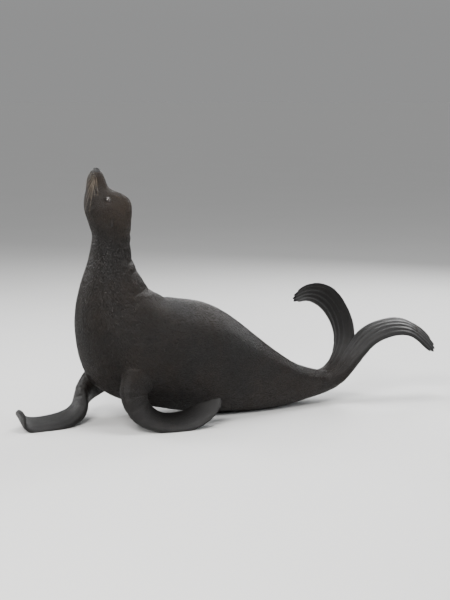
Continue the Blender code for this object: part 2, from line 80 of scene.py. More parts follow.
# Midlines that the coat follows: nose to tail, then each flipper from root to tip.  They and the folds are
# placed from the nose tip, the first point of all.
MIDLINES = {
    "body": (
        (-0.772, 0.067, 1.356), (-0.739, 0.055, 1.200), (-0.697, 0.041, 1.000), (-0.698, 0.041, 0.800),
        (-0.665, 0.041, 0.610), (-0.545, 0.041, 0.442), (-0.275, 0.041, 0.324), (0.020, 0.041, 0.224),
        (0.395, 0.041, 0.127), (0.620, 0.041, 0.122), (0.722, 0.041, 0.195),
    ),
    "fore_flipper_left": (
        (-0.525, -0.069, 0.390), (-0.620, -0.181, 0.300), (-0.685, -0.241, 0.205), (-0.650, -0.269, 0.102),
        (-0.535, -0.281, 0.040), (-0.405, -0.289, 0.038), (-0.303, -0.299, 0.084), (-0.227, -0.299, 0.150),
    ),
    "fore_flipper_right": (
        (-0.515, 0.151, 0.330), (-0.645, 0.226, 0.240), (-0.781, 0.209, 0.146), (-0.873, 0.139, 0.060),
        (-0.990, 0.075, 0.024), (-1.115, 0.049, 0.022), (-1.195, 0.041, 0.045), (-1.225, 0.037, 0.110),
    ),
    "hind_flipper_right": (
        (0.465, 0.096, 0.118), (0.637, 0.121, 0.124), (0.743, 0.135, 0.218), (0.775, 0.148, 0.365),
        (0.731, 0.163, 0.508), (0.651, 0.176, 0.590), (0.559, 0.185, 0.610), (0.471, 0.189, 0.578),
    ),
    "hind_flipper_left": (
        (0.465, -0.014, 0.118), (0.623, -0.039, 0.132), (0.721, -0.055, 0.260), (0.809, -0.074, 0.370),
        (0.930, -0.097, 0.420), (1.040, -0.117, 0.418), (1.137, -0.131, 0.360), (1.215, -0.139, 0.286),
    ),
}
BODY_RADIUS = 0.25              # radius at which the coat's streaks have their true width
# The tufts' spacing at distances from the nose, and the small steps in which it changes.
SPACINGS = ((0.0, 0.0024), (0.12, 0.0027), (0.24, 0.0036), (0.42, 0.0052), (0.9, 0.0055), (1.6, 0.0055),
            (1.95, 0.0048))
SPACING_STEP = 0.0004
FIN_SPACING = 0.0041
TAIL_LENGTH = 0.10
MASK_ROUNDS = 24                # rounds of easing of the bare skin's edge and of the coat's direction
FUR_ENDS = {"fore": (0.24, 0.58), "hind": (0.18, 0.46)}     # shares of a flipper where its fur thins out


# ------ small sums
def smooth_step(value, low, high):
    share = np.clip((value - low) / (high - low), 0.0, 1.0)
    return share * share * (3 - 2 * share)


def hill(distance, reach):
    return np.exp(-(distance / reach) ** 2)


def unit_rows(rows):
    return rows / np.maximum(np.linalg.norm(rows, axis=1, keepdims=True), 1e-9)


def rows_of(items, field, width, kind):
    """A field of every item of a mesh, as rows of a width."""
    flat = np.empty(len(items) * width, kind)
    items.foreach_get(field, flat)
    return flat.reshape(-1, width)


def level_with(normals, rows):
    """What is left of the rows when their part along the normals is taken away."""
    return rows - normals * (rows * normals).sum(1)[:, None]


def points_of(mesh):
    return rows_of(mesh.vertices, "co", 3, np.float32).astype(float)


def normals_of(mesh):
    return rows_of(mesh.vertex_normals, "vector", 3, np.float32).astype(float)


def move_points(mesh, points):
    mesh.vertices.foreach_set("co", points.astype(np.float32).ravel())
    mesh.update()


def store(mesh, name, values):
    kind = "FLOAT" if values.ndim == 1 else "FLOAT_VECTOR"
    layer = mesh.attributes.get(name) or mesh.attributes.new(name, kind, "POINT")
    layer.data.foreach_set("value" if values.ndim == 1 else "vector", values.astype(np.float32).ravel())


def new_object(name, data):
    thing = bpy.data.objects.new(name, data)
    bpy.context.scene.collection.objects.link(thing)
    return thing


def opened(mesh):
    """A bmesh of a mesh, its points ready to be picked by number."""
    bm = bmesh.new()
    bm.from_mesh(mesh)
    bm.verts.ensure_lookup_table()
    return bm


def closed(bm, mesh):
    """Writes the bmesh to the mesh, and frees it."""
    bm.to_mesh(mesh)
    bm.free()
    return mesh


def made_mesh(bm, name):
    return closed(bm, bpy.data.meshes.new(name))


def finished(thing):
    """Applies the object's modifiers to its mesh, and drops the groups that they used."""
    bpy.context.view_layer.update()
    graph = bpy.context.evaluated_depsgraph_get()
    mesh = bpy.data.meshes.new_from_object(thing.evaluated_get(graph))
    old = thing.data
    thing.modifiers.clear()
    thing.vertex_groups.clear()
    thing.data = mesh
    mesh.name = thing.name
    bpy.data.meshes.remove(old)
    return mesh


def eased(mesh, values, rounds):
    """Values of the mesh's points, each round moved halfway to the mean of their neighbours."""
    ends = rows_of(mesh.edges, "vertices", 2, np.int32)
    here, there = ends.T
    size = len(values)
    count = np.bincount(ends.ravel(), minlength=size).astype(float)
    columns = values.reshape(size, -1).T.copy()
    for step in range(rounds):
        for column in columns:
            total = np.bincount(here, column[there], size) + np.bincount(there, column[here], size)
            column += 0.5 * (total / count - column)
    return columns.T.reshape(values.shape)


def shade_smooth(mesh):
    mesh.polygons.foreach_set("use_smooth", np.ones(len(mesh.polygons), bool))
    mesh.update()


def ease_points(bm, verts):
    bmesh.ops.smooth_vert(bm, verts=verts, factor=0.5, use_axis_x=True, use_axis_y=True, use_axis_z=True)


def weigh(thing, name, weights, steps):
    """A vertex group of the object that holds the weights, rounded to a number of steps."""
    group = thing.vertex_groups.new(name=name)
    rounded = np.round(weights * steps).astype(int)
    for step in range(1, steps + 1):
        group.add(np.flatnonzero(rounded == step).tolist(), step / steps, "REPLACE")
    return group.name


# ------ the head's frame and the midlines
class HeadFrame:
    """Nose tip and unit directions of the head, found from the two eyeballs."""

    def __init__(self):
        centres = [sum(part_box(eye), Vector()) / 2 for eye in EYES]
        self.left = (centres[0] - centres[1]).normalized()
        level = Vector((-self.left.y, self.left.x, 0.0)).normalized()
        tilt = math.radians(HEAD_FROM_UPRIGHT)
        self.back = level * math.sin(tilt) - Vector((0, 0, 1)) * math.cos(tilt)
        self.crown = level * math.cos(tilt) + Vector((0, 0, 1)) * math.sin(tilt)
        middle = (centres[0] + centres[1]) / 2
        self.nose = middle - self.back * EYE_BEHIND_NOSE - self.crown * EYE_ABOVE_AXIS
        self.eyes = centres

    def shares(self, points):
        """Places as shares of the head's length: behind the nose, towards the crown, to the left."""
        offset = (points - np.array(self.nose)) / HEAD_LENGTH
        return [offset @ np.array(axis) for axis in (self.back, self.crown, self.left)]

    def point(self, along, up, side):
        return self.nose + (self.back * along + self.crown * up + self.left * side) * HEAD_LENGTH

    def direction(self, outward, backward, upward, side):
        return (self.left * (outward * side) + self.back * backward + self.crown * upward).normalized()


class Midline:
    """A smooth line through a part of the animal, and the frame that a surface point has on it."""
    STEPS = 16                  # steps between two of the line's places
    BATCH = 20000               # points that are measured at a time

    def __init__(self, knots):
        knots = np.array(knots) + ANCHOR
        ends = np.vstack((2 * knots[0] - knots[1], knots, 2 * knots[-1] - knots[-2]))
        places = []
        for k in range(1, len(ends) - 2):
            before, here, there, after = ends[k - 1:k + 3]
            for t in np.arange(self.STEPS) / self.STEPS:
                places.append(0.5 * (2 * here + (there - before) * t
                                     + (2 * before - 5 * here + 4 * there - after) * t * t
                                     + (3 * here - before - 3 * there + after) * t ** 3))
        self.points = np.array(places + [knots[-1]])
        self.directions = unit_rows(np.gradient(self.points, axis=0))
        steps = np.linalg.norm(np.diff(self.points, axis=0), axis=1)
        self.lengths = np.concatenate(([0.0], np.cumsum(steps)))
        self.length = self.lengths[-1]

    def nearest(self, points):
        """For each point: distance along the line, the line's direction there, and offset from the line."""
        parts = np.array_split(points, len(points) // self.BATCH + 1)
        rows = np.concatenate([((part[:, None] - self.points) ** 2).sum(2).argmin(1) for part in parts])
        direction = self.directions[rows]
        offset = points - self.points[rows]
        ahead = (offset * direction).sum(1)
        return self.lengths[rows] + ahead, direction, offset - direction * ahead[:, None]

    def place(self, distance):
        """Point and direction at a distance along the line, and the direction to the back line there."""
        row = int(np.searchsorted(self.lengths, distance).clip(0, len(self.points) - 1))
        direction = Vector(self.directions[row])
        dorsal = Vector((0.0, -1.0, 0.0)).cross(direction).normalized()
        return Vector(self.points[row]), direction, dorsal


head = HeadFrame()
ANCHOR = np.array(head.nose) - np.array(MIDLINES["body"][0])
midlines = {name: Midline(knots) for name, knots in MIDLINES.items()}


# ------ the skin: one surface over all the flesh
def merged_node(name):
    """A bmesh of a CAD node, its loose triangles merged."""
    bm = opened(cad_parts[name].data)
    bmesh.ops.remove_doubles(bm, verts=bm.verts, dist=0.00001)
    return bm


def subdivided(bm, name):
    """An object of the bmesh, with a live subdivision."""
    thing = new_object(name, made_mesh(bm, name))
    subdivision = thing.modifiers.new("round", "SUBSURF")
    subdivision.levels = 2
    subdivision.render_levels = 2
    return thing


def rounded_node(name, sharp):
    """A mesh of a CAD node, subdivided and slightly swollen, its edges over the sharp angle kept."""
    bm = merged_node(name)
    crease = bm.edges.layers.float.new("crease_edge")
    for edge in bm.edges:
        if len(edge.link_faces) == 2 and edge.calc_face_angle(0.0) > math.radians(sharp):
            edge[crease] = 1.0
    thing = subdivided(bm, name + "_rounded")
    mesh = thing.data
    # Subdivision draws a shape in, so the cage is let out until the surface nears the node's own points.
    wanted = points_of(mesh)
    reach = np.full(len(wanted), BODY_REACH)
    if name in FIN_FLESH:
        share = midlines[name].nearest(wanted)[0] / midlines[name].length
        reach = FIN_REACH * smooth_step(share, 0.25, 0.45)
    let_out = np.zeros(wanted.shape)
    for step in range(CAGE_ROUNDS):
        bpy.context.view_layer.update()
        drawn_in = thing.evaluated_get(bpy.context.evaluated_depsgraph_get()).data
        let_out += CAGE_SHARE * (wanted - points_of(drawn_in)[:len(wanted)])
        size = np.linalg.norm(let_out, axis=1)
        let_out *= np.minimum(1.0, reach / np.maximum(size, 1e-9))[:, None]
        move_points(mesh, wanted + let_out)
    mesh = finished(thing)
    move_points(mesh, points_of(mesh) + normals_of(mesh) * SEAM_SWELL)
    bpy.data.objects.remove(thing)
    return mesh


def joined_flesh():
    """A mesh of all the rounded flesh, and search trees of its parts: the body, then each flipper."""
    whole = bmesh.new()
    trees = []
    for names, sharp in ((BODY_FLESH + EYES, BODY_SHARP), *(((fin,), FIN_SHARP) for fin in FIN_FLESH)):
        part = bmesh.new()
        for name in names:
            mesh = rounded_node(name, sharp)
            part.from_mesh(mesh)
            bpy.data.meshes.remove(mesh)
        trees.append(BVHTree.FromBMesh(part))
        mesh = made_mesh(part, "part")
        whole.from_mesh(mesh)
        bpy.data.meshes.remove(mesh)
    return made_mesh(whole, "skin"), trees


def distances(trees, points):
    """A row for each tree: the distances of the points from it."""
    return np.array([[tree.find_nearest(point)[3] for point in points] for tree in trees])


def smooth_by(thing, weights, rounds):
    """Smooths the surface as far as the weights say."""
    modifier = thing.modifiers.new("smooth", "SMOOTH")
    modifier.vertex_group = weigh(thing, "smooth", weights, 20)
    modifier.factor = 0.5
    modifier.iterations = rounds
    finished(thing)


def fused_skin():
    """The flesh as one closed surface, roots filleted and facets smoothed, and its parts' search trees."""
    mesh, trees = joined_flesh()
    thing = new_object("skin", mesh)
    remesh = thing.modifiers.new("fuse", "REMESH")
    remesh.mode = "VOXEL"
    remesh.voxel_size = SKIN_VOXEL
    finished(thing)
    points = points_of(thing.data)
    to_body, *to_each = distances(trees, points)
    to_fins = np.min(to_each, axis=0)
    root = hill(np.maximum(to_body, to_fins), ROOT_REACH)
    along = head.shares(points)[0]
    thick = (to_body < to_fins) * smooth_step(along, 0.80, 1.15)
    from_tail = smooth_step(np.linalg.norm(points - midlines["body"].points[-1], axis=1), *TAIL_BLEND)
    smooth_by(thing, np.maximum(thick * from_tail, root * (0.15 + 0.60 * from_tail)), ROOT_ROUNDS)
    smooth_by(thing, np.ones(len(points)), SKIN_ROUNDS)
    mesh = thing.data
    regained = TAIL_SWELL * (1 - from_tail) + ROOT_SWELL * root * from_tail
    move_points(mesh, points_of(mesh) + normals_of(mesh) * regained[:, None])
    return thing, trees


# ------ folds of the skin
# Folds across the back of the neck and body: distance from the nose along the body's midline, angle from the
# back line where the fold begins and ends, depth, half width.
RING_FOLDS = (
    (0.350, -58, 88, 0.0016, 0.0120),
    (0.402, -92, 54, 0.0020, 0.0140),
    (0.470, -50, 96, 0.0019, 0.0155),
    (0.556, -96, 60, 0.0019, 0.0170),
    (0.660, -60, 84, 0.0017, 0.0185),
    (0.838, -58, 70, 0.0024, 0.0210),
    (0.925, -76, 56, 0.0024, 0.0220),
    (1.890, -70, 64, 0.0014, 0.0170),
    (1.950, -60, 74, 0.0013, 0.0170),
)
# Creases through a few places near the surface: points, depth, half width.
CREASES = (
    (((-0.600, -0.300, 0.380), (-0.520, -0.260, 0.330), (-0.440, -0.240, 0.255)), 0.0046, 0.0170),
    (((-0.560, -0.300, 0.300), (-0.490, -0.260, 0.250), (-0.430, -0.220, 0.190)), 0.0040, 0.0160),
    (((-0.700, -0.260, 0.420), (-0.640, -0.290, 0.400), (-0.570, -0.290, 0.410)), 0.0028, 0.0150),
    (((-0.600, 0.380, 0.400), (-0.520, 0.340, 0.320), (-0.430, 0.320, 0.240)), 0.0046, 0.0170),
    (((-0.420, -0.260, 0.300), (-0.330, -0.250, 0.220), (-0.250, -0.220, 0.140)), 0.0030, 0.0180),
    (((-0.420, 0.340, 0.300), (-0.330, 0.330, 0.220), (-0.250, 0.300, 0.140)), 0.0030, 0.0180),
    (((0.430, -0.090, 0.110), (0.520, -0.080, 0.075), (0.600, -0.050, 0.070)), 0.0020, 0.0150),
    (((0.430, 0.170, 0.110), (0.520, 0.160, 0.075), (0.600, 0.130, 0.070)), 0.0020, 0.0150),
)
# Creases across a flipper where it bends: name, share of its length, depth, half width.
BEND_CREASES = (
    ("fore_flipper_left", 0.36, 0.0016, 0.0070), ("fore_flipper_left", 0.42, 0.0020, 0.0070),
    ("fore_flipper_left", 0.48, 0.0015, 0.0070), ("fore_flipper_right", 0.44, 0.0016, 0.0070),
    ("fore_flipper_right", 0.50, 0.0020, 0.0070), ("fore_flipper_right", 0.56, 0.0013, 0.0070),
    ("hind_flipper_left", 0.37, 0.0011, 0.0080), ("hind_flipper_left", 0.44, 0.0012, 0.0080),
    ("hind_flipper_right", 0.36, 0.0011, 0.0080), ("hind_flipper_right", 0.43, 0.0012, 0.0080),
)
LIP_RISE, LIP_GAP, LIP_WIDTH = 0.42, 2.3, 1.3        # of the fold's depth, and of its half width
FOLD_RAYS = 60
BEND_REACH = 0.14               # half length of a crease across a flipper


def fold_profile(gap, width):
    """Height across a fold of depth 1: pressed in along its line, with a raised lip at each side."""
    return -hill(gap, width) + LIP_RISE * hill(np.abs(gap) - LIP_GAP * width, LIP_WIDTH * width)


def press_fold(points, normals, line, depth, width):
    """Presses a fold with raised lips into the points near a line of surface points."""
    line = np.array(line)
    low = line.min(0) - 5 * width
    high = line.max(0) + 5 * width
    near = np.flatnonzero(((points > low) & (points < high)).all(1))
    gaps = np.linalg.norm(points[near][:, None] - line, axis=2)
    fade = np.sin(np.pi * (gaps.argmin(1) + 0.5) / len(line)) ** 0.6
    points[near] += normals[near] * (fold_profile(gaps.min(1), width) * fade * depth)[:, None]


def fold_body(thing):
    mesh = thing.data
    tree = BVHTree.FromObject(thing, bpy.context.evaluated_depsgraph_get())
    points = points_of(mesh)
    normals = normals_of(mesh)
    folds = []
    for distance, first, last, depth, width in RING_FOLDS:
        line = []
        for angle in np.radians(np.linspace(first, last, FOLD_RAYS)):
            wave = 0.010 * math.sin(2.2 * angle + 40 * distance)
            centre, direction, dorsal = midlines["body"].place(distance + wave)
            ray = dorsal * math.cos(angle) + direction.cross(dorsal) * math.sin(angle)
            hit = tree.ray_cast(centre, ray)[0]
            if hit:
                line.append(hit)
        folds.append((line, depth, width))
    for knots, depth, width in CREASES:
        folds.append(([tree.find_nearest(point)[0] for point in Midline(knots).points], depth, width))
    for fold in folds:
        press_fold(points, normals, *fold)
    for name, share, depth, width in BEND_CREASES:
        line = midlines[name]
        distance = share * line.length
        from_bend = np.linalg.norm(points - np.array(line.place(distance)[0]), axis=1)
        near = np.flatnonzero(from_bend < BEND_REACH)
        along, direction, offset = line.nearest(points[near])
        wave = 0.004 * np.sin(60 * offset[:, 1] + 90 * share)
        gap = along - distance + wave
        points[near] += normals[near] * (fold_profile(gap, width) * depth)[:, None]
    move_points(mesh, points)


def thinned(thing):
    """Brings the skin down to its number of triangles, the head less than the rest."""
    mesh = thing.data
    along = head.shares(points_of(mesh))[0]
    modifier = thing.modifiers.new("thin", "DECIMATE")
    modifier.ratio = SKIN_FACES / (2 * len(mesh.polygons))
    modifier.vertex_group = weigh(thing, "keep", 1 - smooth_step(along, 0.9, 1.3), 10)
    modifier.vertex_group_factor = 1.0
    modifier.invert_vertex_group = True
    finished(thing)


# ------ the face
MOUTH = ((0.000, -0.042), (0.050, -0.052), (0.120, -0.078), (0.220, -0.096), (0.320, -0.098), (0.420, -0.078))
MOUTH_ENDS = 0.405
WHISKER_ROWS, WHISKER_COLUMNS = 4, 6


def mouth_height(along):
    return np.interp(along, [a for a, u in MOUTH], [u for a, u in MOUTH])


def nose_share(along, up):
    """1 on the bare nose pad, 0 on the furred muzzle."""
    return smooth_step(0.078 - along - 1.2 * np.maximum(0.0, -up - 0.012), 0.0, 0.010)


def whisker_places():
    """Row, column and place of each whisker on the upper lip, the place as shares along and up the head."""
    for row in range(WHISKER_ROWS):
        for column in range(WHISKER_COLUMNS - row // 2):
            along = 0.084 + 0.024 * column + 0.006 * (row % 2)
            yield row, column, along, float(mouth_height(along)) + 0.016 + 0.0145 * row


class EyeFrame:
    """An eyeball's centre and directions: outwards, forwards and upwards, with the lid's slant."""
    SLANT = math.radians(14)

    def __init__(self, centre, side):
        self.centre = centre
        self.out = head.direction(*EYE_FACES, side)
        forward = (-head.back - self.out * (-head.back).dot(self.out)).normalized()
        upward = forward.cross(self.out) * -side
        if upward.dot(head.crown) < 0:
            upward = -upward
        self.ahead = forward * math.cos(self.SLANT) - upward * math.sin(self.SLANT)
        self.above = upward * math.cos(self.SLANT) + forward * math.sin(self.SLANT)

    def local(self, points):
        offset = points - np.array(self.centre)
        return [offset @ np.array(axis) for axis in (self.ahead, self.above, self.out)]

    def margin(self, points):
        """Distance from the edge of the lids, over the ball: under 0 inside the opening."""
        ahead, above, out = self.local(points)
        x = EYE_RADIUS * np.arctan2(ahead, np.maximum(out, 1e-4))
        y = EYE_RADIUS * np.arctan2(above, np.maximum(out, 1e-4))
        height = LID_HALF_HEIGHT * np.where(y > 0, 1.06, 0.94)
        share = np.clip(1 - (x / LID_HALF_LENGTH) ** 2, 0, 1)
        edge = height * share ** 0.72
        beyond = np.hypot(np.maximum(np.abs(x) - LID_HALF_LENGTH, 0), np.abs(y))
        inside = (np.abs(y) - edge) * 0.85
        gap = np.where(np.abs(x) < LID_HALF_LENGTH, inside, beyond)
        beside = np.maximum(np.hypot(ahead, above), np.abs(out)) > 0.06
        return np.where((out < 0) | beside, 1.0, gap)


eye_frames = [EyeFrame(centre, side) for centre, (name, side) in zip(head.eyes, SIDES)]


def lid_margin(points):
    return np.minimum(*[eye.margin(points) for eye in eye_frames])


def refine(mesh, reach):
    """Splits the edges of the head's skin where reach is true, and eases the new facets."""
    bm = opened(mesh)
    points = points_of(mesh)
    along, up, side = head.shares(points)
    wanted = (along > -0.1) & (along < 0.8) & reach(points, along, up, side)
    edges = [edge for edge in bm.edges if wanted[edge.verts[0].index] and wanted[edge.verts[1].index]]
    made = bmesh.ops.subdivide_edges(bm, edges=edges, cuts=1, use_grid_fill=True)
    fresh = [item for item in made["geom_inner"] if isinstance(item, bmesh.types.BMVert)]
    bmesh.ops.triangulate(bm, faces=[face for face in bm.faces if len(face.verts) > 3])
    ease_points(bm, fresh)
    closed(bm, mesh)


def near_features(points, along, up, side):
    nose = along < 0.12
    mouth = (np.abs(up - mouth_height(along)) < 0.045) & (along < 0.46)
    lip = (up < 0.03) & (up > -0.12) & (along < 0.27)
    eyes = [np.linalg.norm(points - np.array(eye.centre), axis=1) < 0.034 for eye in eye_frames]
    return nose | mouth | lip | eyes[0] | eyes[1]


def near_edges(points, along, up, side):
    mouth = (np.abs(up - mouth_height(along)) < 0.010) & (along < 0.42)
    lids = np.abs(lid_margin(points)) < 0.0028
    slit = np.hypot((up - 0.024) / 0.036, (np.abs(side) - 0.036) / 0.022) < 1
    return mouth | lids | (slit & (along < 0.09))


def carve_face(mesh):
    """Nose pad, nostrils, mouth, lips, whisker pads and the soft folds from the mouth to the throat."""
    points = points_of(mesh)
    normals = normals_of(mesh)
    along, up, side = head.shares(points)
    rise = np.zeros(len(points))
    front = along < 0.5

    # The nose pad stands a little proud, with a groove round it and one down its middle.
    pad = nose_share(along, up)
    rise += front * (0.0010 * pad - 0.0012 * hill(pad - 0.5, 0.28))
    middle = hill(side * HEAD_LENGTH, 0.0016) * smooth_step(-up, -0.035, -0.005)
    middle *= smooth_step(0.060 - along, 0, 0.02)
    rise += -0.0022 * middle * smooth_step(up, -0.052, -0.040)

    # Nostrils: two slits that close towards the lip.
    reach_up = up - 0.024
    reach_out = np.abs(side) - 0.036
    lengthways = 0.86 * reach_up + 0.50 * reach_out
    across = 0.50 * reach_up - 0.86 * reach_out - 0.25 * lengthways ** 2 / 0.03
    slit = np.exp(-(lengthways / 0.026) ** 4) * hill(across, 0.0062)
    rim = np.exp(-(lengthways / 0.030) ** 4) * hill(np.abs(across) - 0.016, 0.009)
    rise += (along < 0.095) * (-0.0075 * slit + 0.0012 * rim)

    # The mouth: a groove under a fuller upper lip, deeper at its corner.
    gap = (up - mouth_height(along)) * HEAD_LENGTH
    open_share = 1 - smooth_step(along, MOUTH_ENDS - 0.05, MOUTH_ENDS)
    rise += open_share * (-0.0042 * hill(gap, 0.0015) + 0.0020 * hill(gap - 0.0075, 0.0055))
    rise += open_share * (-0.0012 * hill(gap + 0.0040, 0.0028) + 0.0009 * hill(gap + 0.0105, 0.0050))
    corner = np.hypot(along - MOUTH_ENDS, up - mouth_height(MOUTH_ENDS)) * HEAD_LENGTH
    rise += -0.0030 * hill(corner, 0.0070)
    rise += 0.0016 * hill(corner - 0.013, 0.006)

    # Whisker pads, each whisker in its own dimple.
    for row, column, place, height in whisker_places():
        spot = np.hypot(along - place, up - height) * HEAD_LENGTH
        rise += front * (-0.0008 * hill(spot, 0.0013) + 0.0006 * hill(spot - 0.0022, 0.0010))

    # Soft folds from the corner of the mouth to the throat.
    for start, slope, depth in ((0.47, 0.55, 0.0012), (0.56, 0.62, 0.0013), (0.66, 0.70, 0.0011)):
        line = (along - start + slope * (up + 0.16)) * HEAD_LENGTH
        rise += -depth * hill(line, 0.0085) * hill(up + 0.200, 0.070)
    move_points(mesh, points + normals * rise[:, None])


def lids_laid(points):
    """The skin lies over each eyeball outside the lids' opening, and sinks behind the ball inside it."""
    for eye in eye_frames:
        gap = eye.margin(points)
        offset = points - np.array(eye.centre)
        radius = np.linalg.norm(offset, axis=1)
        lid = EYE_RADIUS + LID_DEPTH + 0.0010 * hill(gap - 0.0036, 0.0022)
        lid = lid - 0.0004 * hill(gap - 0.0078, 0.0018)
        under = EYE_RADIUS - BEHIND_LID
        share = smooth_step(gap, -0.0006, 0.0004)
        edge = under + (EYE_RADIUS + LID_DEPTH - under) * share
        wanted = np.where(gap < 0.0006, edge, np.maximum(radius, lid))
        wanted = np.where((radius < EYE_REACH) & (gap < 0.5), wanted, radius)
        points = np.array(eye.centre) + offset * (wanted / np.maximum(radius, 1e-6))[:, None]
    return points


# ------ what each place of the skin is like
class Lie:
    """Per vertex of the skin: the part that it is on, how bare it is, and the coat's lie and length."""

    def __init__(self, mesh, trees):
        points = points_of(mesh)
        normals = normals_of(mesh)
        self.along, self.up, side = head.shares(points)
        owner = distances(trees, points).argmin(0)
        distance, direction, offset = midlines["body"].nearest(points)
        self.distance = distance
        self.direction = direction.copy()
        side = np.array((0.0, -1.0, 0.0))
        dorsal = unit_rows(np.cross(np.broadcast_to(side, direction.shape), direction))
        out = unit_rows(offset) * BODY_RADIUS
        self.flow = np.stack((out @ side, (out * dorsal).sum(1), distance), axis=1)
        self.bare = np.zeros(len(points))
        self.blade = np.zeros(len(points))
        for number, name in enumerate(FIN_FLESH, start=1):
            rows = np.flatnonzero(owner == number)
            line = midlines[name]
            distance, direction, offset = line.nearest(points[rows])
            share = distance / line.length
            start, end = FUR_ENDS[name[:4]]
            blend = smooth_step(share, 0.06, 0.28)[:, None]
            self.direction[rows] = unit_rows(self.direction[rows] * (1 - blend) + direction * blend)
            self.bare[rows] = smooth_step(share, start, end)
            self.blade[rows] = smooth_step(share, 0.15, 0.45)
            across = np.cross(direction, normals[rows])
            spread = (offset * unit_rows(across)).sum(1)
            height = (offset * normals[rows]).sum(1)
            self.flow[rows] = np.stack((spread, height, distance), axis=1)
        self.is_fin = owner > 0
        self.bare = eased(mesh, self.bare, MASK_ROUNDS)
        self.blade = eased(mesh, self.blade, MASK_ROUNDS // 2)
        self.direction = unit_rows(eased(mesh, self.direction, MASK_ROUNDS))
        self.tangent = unit_rows(level_with(normals, self.direction))
        self.nose = nose_share(self.along, self.up) * (self.along < 0.3)
        self.to_eye = lid_margin(points)
        self.lid = 1 - smooth_step(self.to_eye, 0.0014, 0.0036)
        gap = np.abs(self.up - mouth_height(self.along)) * HEAD_LENGTH
        lips = (1 - smooth_step(gap, 0.0016, 0.0034)) * (self.along < MOUTH_ENDS + 0.01)
        self.lid = np.maximum(self.lid, lips)
        self.hair = self.hair_length()
        self.spacing = np.interp(self.distance, *zip(*SPACINGS))
        self.spacing[self.is_fin] = FIN_SPACING - 0.0012 * self.bare[self.is_fin]

    def hair_length(self):
        """Length of the coat: longest on the neck and chest, shortest on the face and flippers."""
        tail_start = midlines["body"].length - TAIL_LENGTH
        body = 0.0185 + 0.0085 * hill(self.distance - 0.52, 0.30)
        body = body * (1 - 0.30 * smooth_step(self.distance, 1.70, 2.00))
        body = body * (1 - 0.45 * smooth_step(self.distance, tail_start, tail_start + 0.05))
        muzzle = 0.0050 + 0.0100 * smooth_step(self.along, 0.20, 0.95)
        length = muzzle + (body - muzzle) * smooth_step(self.along, 0.95, 1.5)
        length = np.where(self.is_fin, 0.0100 * (1 - self.bare) + 0.0035, length)
        length = np.minimum(length, 0.0010 + 0.75 * np.maximum(self.to_eye, 0.0))
        bald = np.maximum(self.nose, self.lid)
        length = length * (1 - 0.90 * bald) * (1 - 0.45 * self.bare)
        return np.where(np.maximum(bald, self.bare) > 0.85, 0.0, length)


def built_skin():
    thing, trees = fused_skin()
    fold_body(thing)
    thinned(thing)
    mesh = thing.data
    for reach in (near_features, near_edges, near_edges):
        refine(mesh, reach)
    carve_face(mesh)
    lie = Lie(mesh, trees)
    depth = FACE_DEPTH + (COAT_DEPTH - FACE_DEPTH) * smooth_step(lie.along, 0.30, 1.1)
    depth = depth * (1 - np.maximum.reduce((lie.bare, lie.nose, lie.lid, 0.75 * lie.blade)))
    points = points_of(mesh) - normals_of(mesh) * (depth + SEAM_SWELL)[:, None]
    points[:, 2] = np.maximum(points[:, 2], 0.0)
    move_points(mesh, lids_laid(points))
    bm = opened(mesh)
    ring = [bm.verts[k] for k in np.flatnonzero((lie.to_eye > EYE_RING[0]) & (lie.to_eye < EYE_RING[1]))]
    for step in range(EYE_EASING):
        ease_points(bm, ring)
    move_points(closed(bm, mesh), lids_laid(points_of(mesh)))
    shade_smooth(mesh)
    for name, values in (("bare", lie.bare), ("pad", lie.nose), ("lid", lie.lid), ("flow", lie.flow)):
        store(mesh, name, values)
    return thing, lie


def unwrapped(thing):
    """Unwraps the skin's own shape."""
    bpy.context.view_layer.objects.active = thing
    thing.select_set(True)
    thing.data.uv_layers.new(name="OFBake")
    bpy.ops.object.mode_set(mode="EDIT")
    bpy.ops.mesh.select_all(action="SELECT")
    bpy.ops.uv.smart_project(angle_limit=math.radians(66), island_margin=0.003, scale_to_bounds=False)
    bpy.ops.object.mode_set(mode="OBJECT")
    thing.select_set(False)


# ------ the coat
PATCH = 0.003                   # a tuft's patch on the unwrap
CLUMP = 0.021                   # width of a clump of tufts
CLUMP_LEAN, STRAY = math.radians(7), math.radians(5)
SHORTEST_TUFT = 0.0024
ROOT_SUNK = 0.0008              # how far a tuft's root sits in the skin
FLOOR_TOUCH = 0.004             # no tufts grow where the skin is nearer the floor than this
TRIES = 5                       # places tried for each root
KEY_PRIMES = (73856093, 19349663, 83492791, 15485863)       # they keep the keys of neighbouring cells apart
REGIONS = (                     # stretches of the body's midline, from the nose
    ("coat_face", 0.0, 0.17), ("coat_head", 0.17, 0.33), ("coat_neck", 0.33, 0.62),
    ("coat_chest", 0.62, 0.86), ("coat_shoulders", 0.86, 1.06), ("coat_ribs", 1.06, 1.28),
    ("coat_flanks", 1.28, 1.50), ("coat_loins", 1.50, 1.80), ("coat_rump", 1.80, 9.00),
    ("coat_flippers", 0.0, 9.0),
)


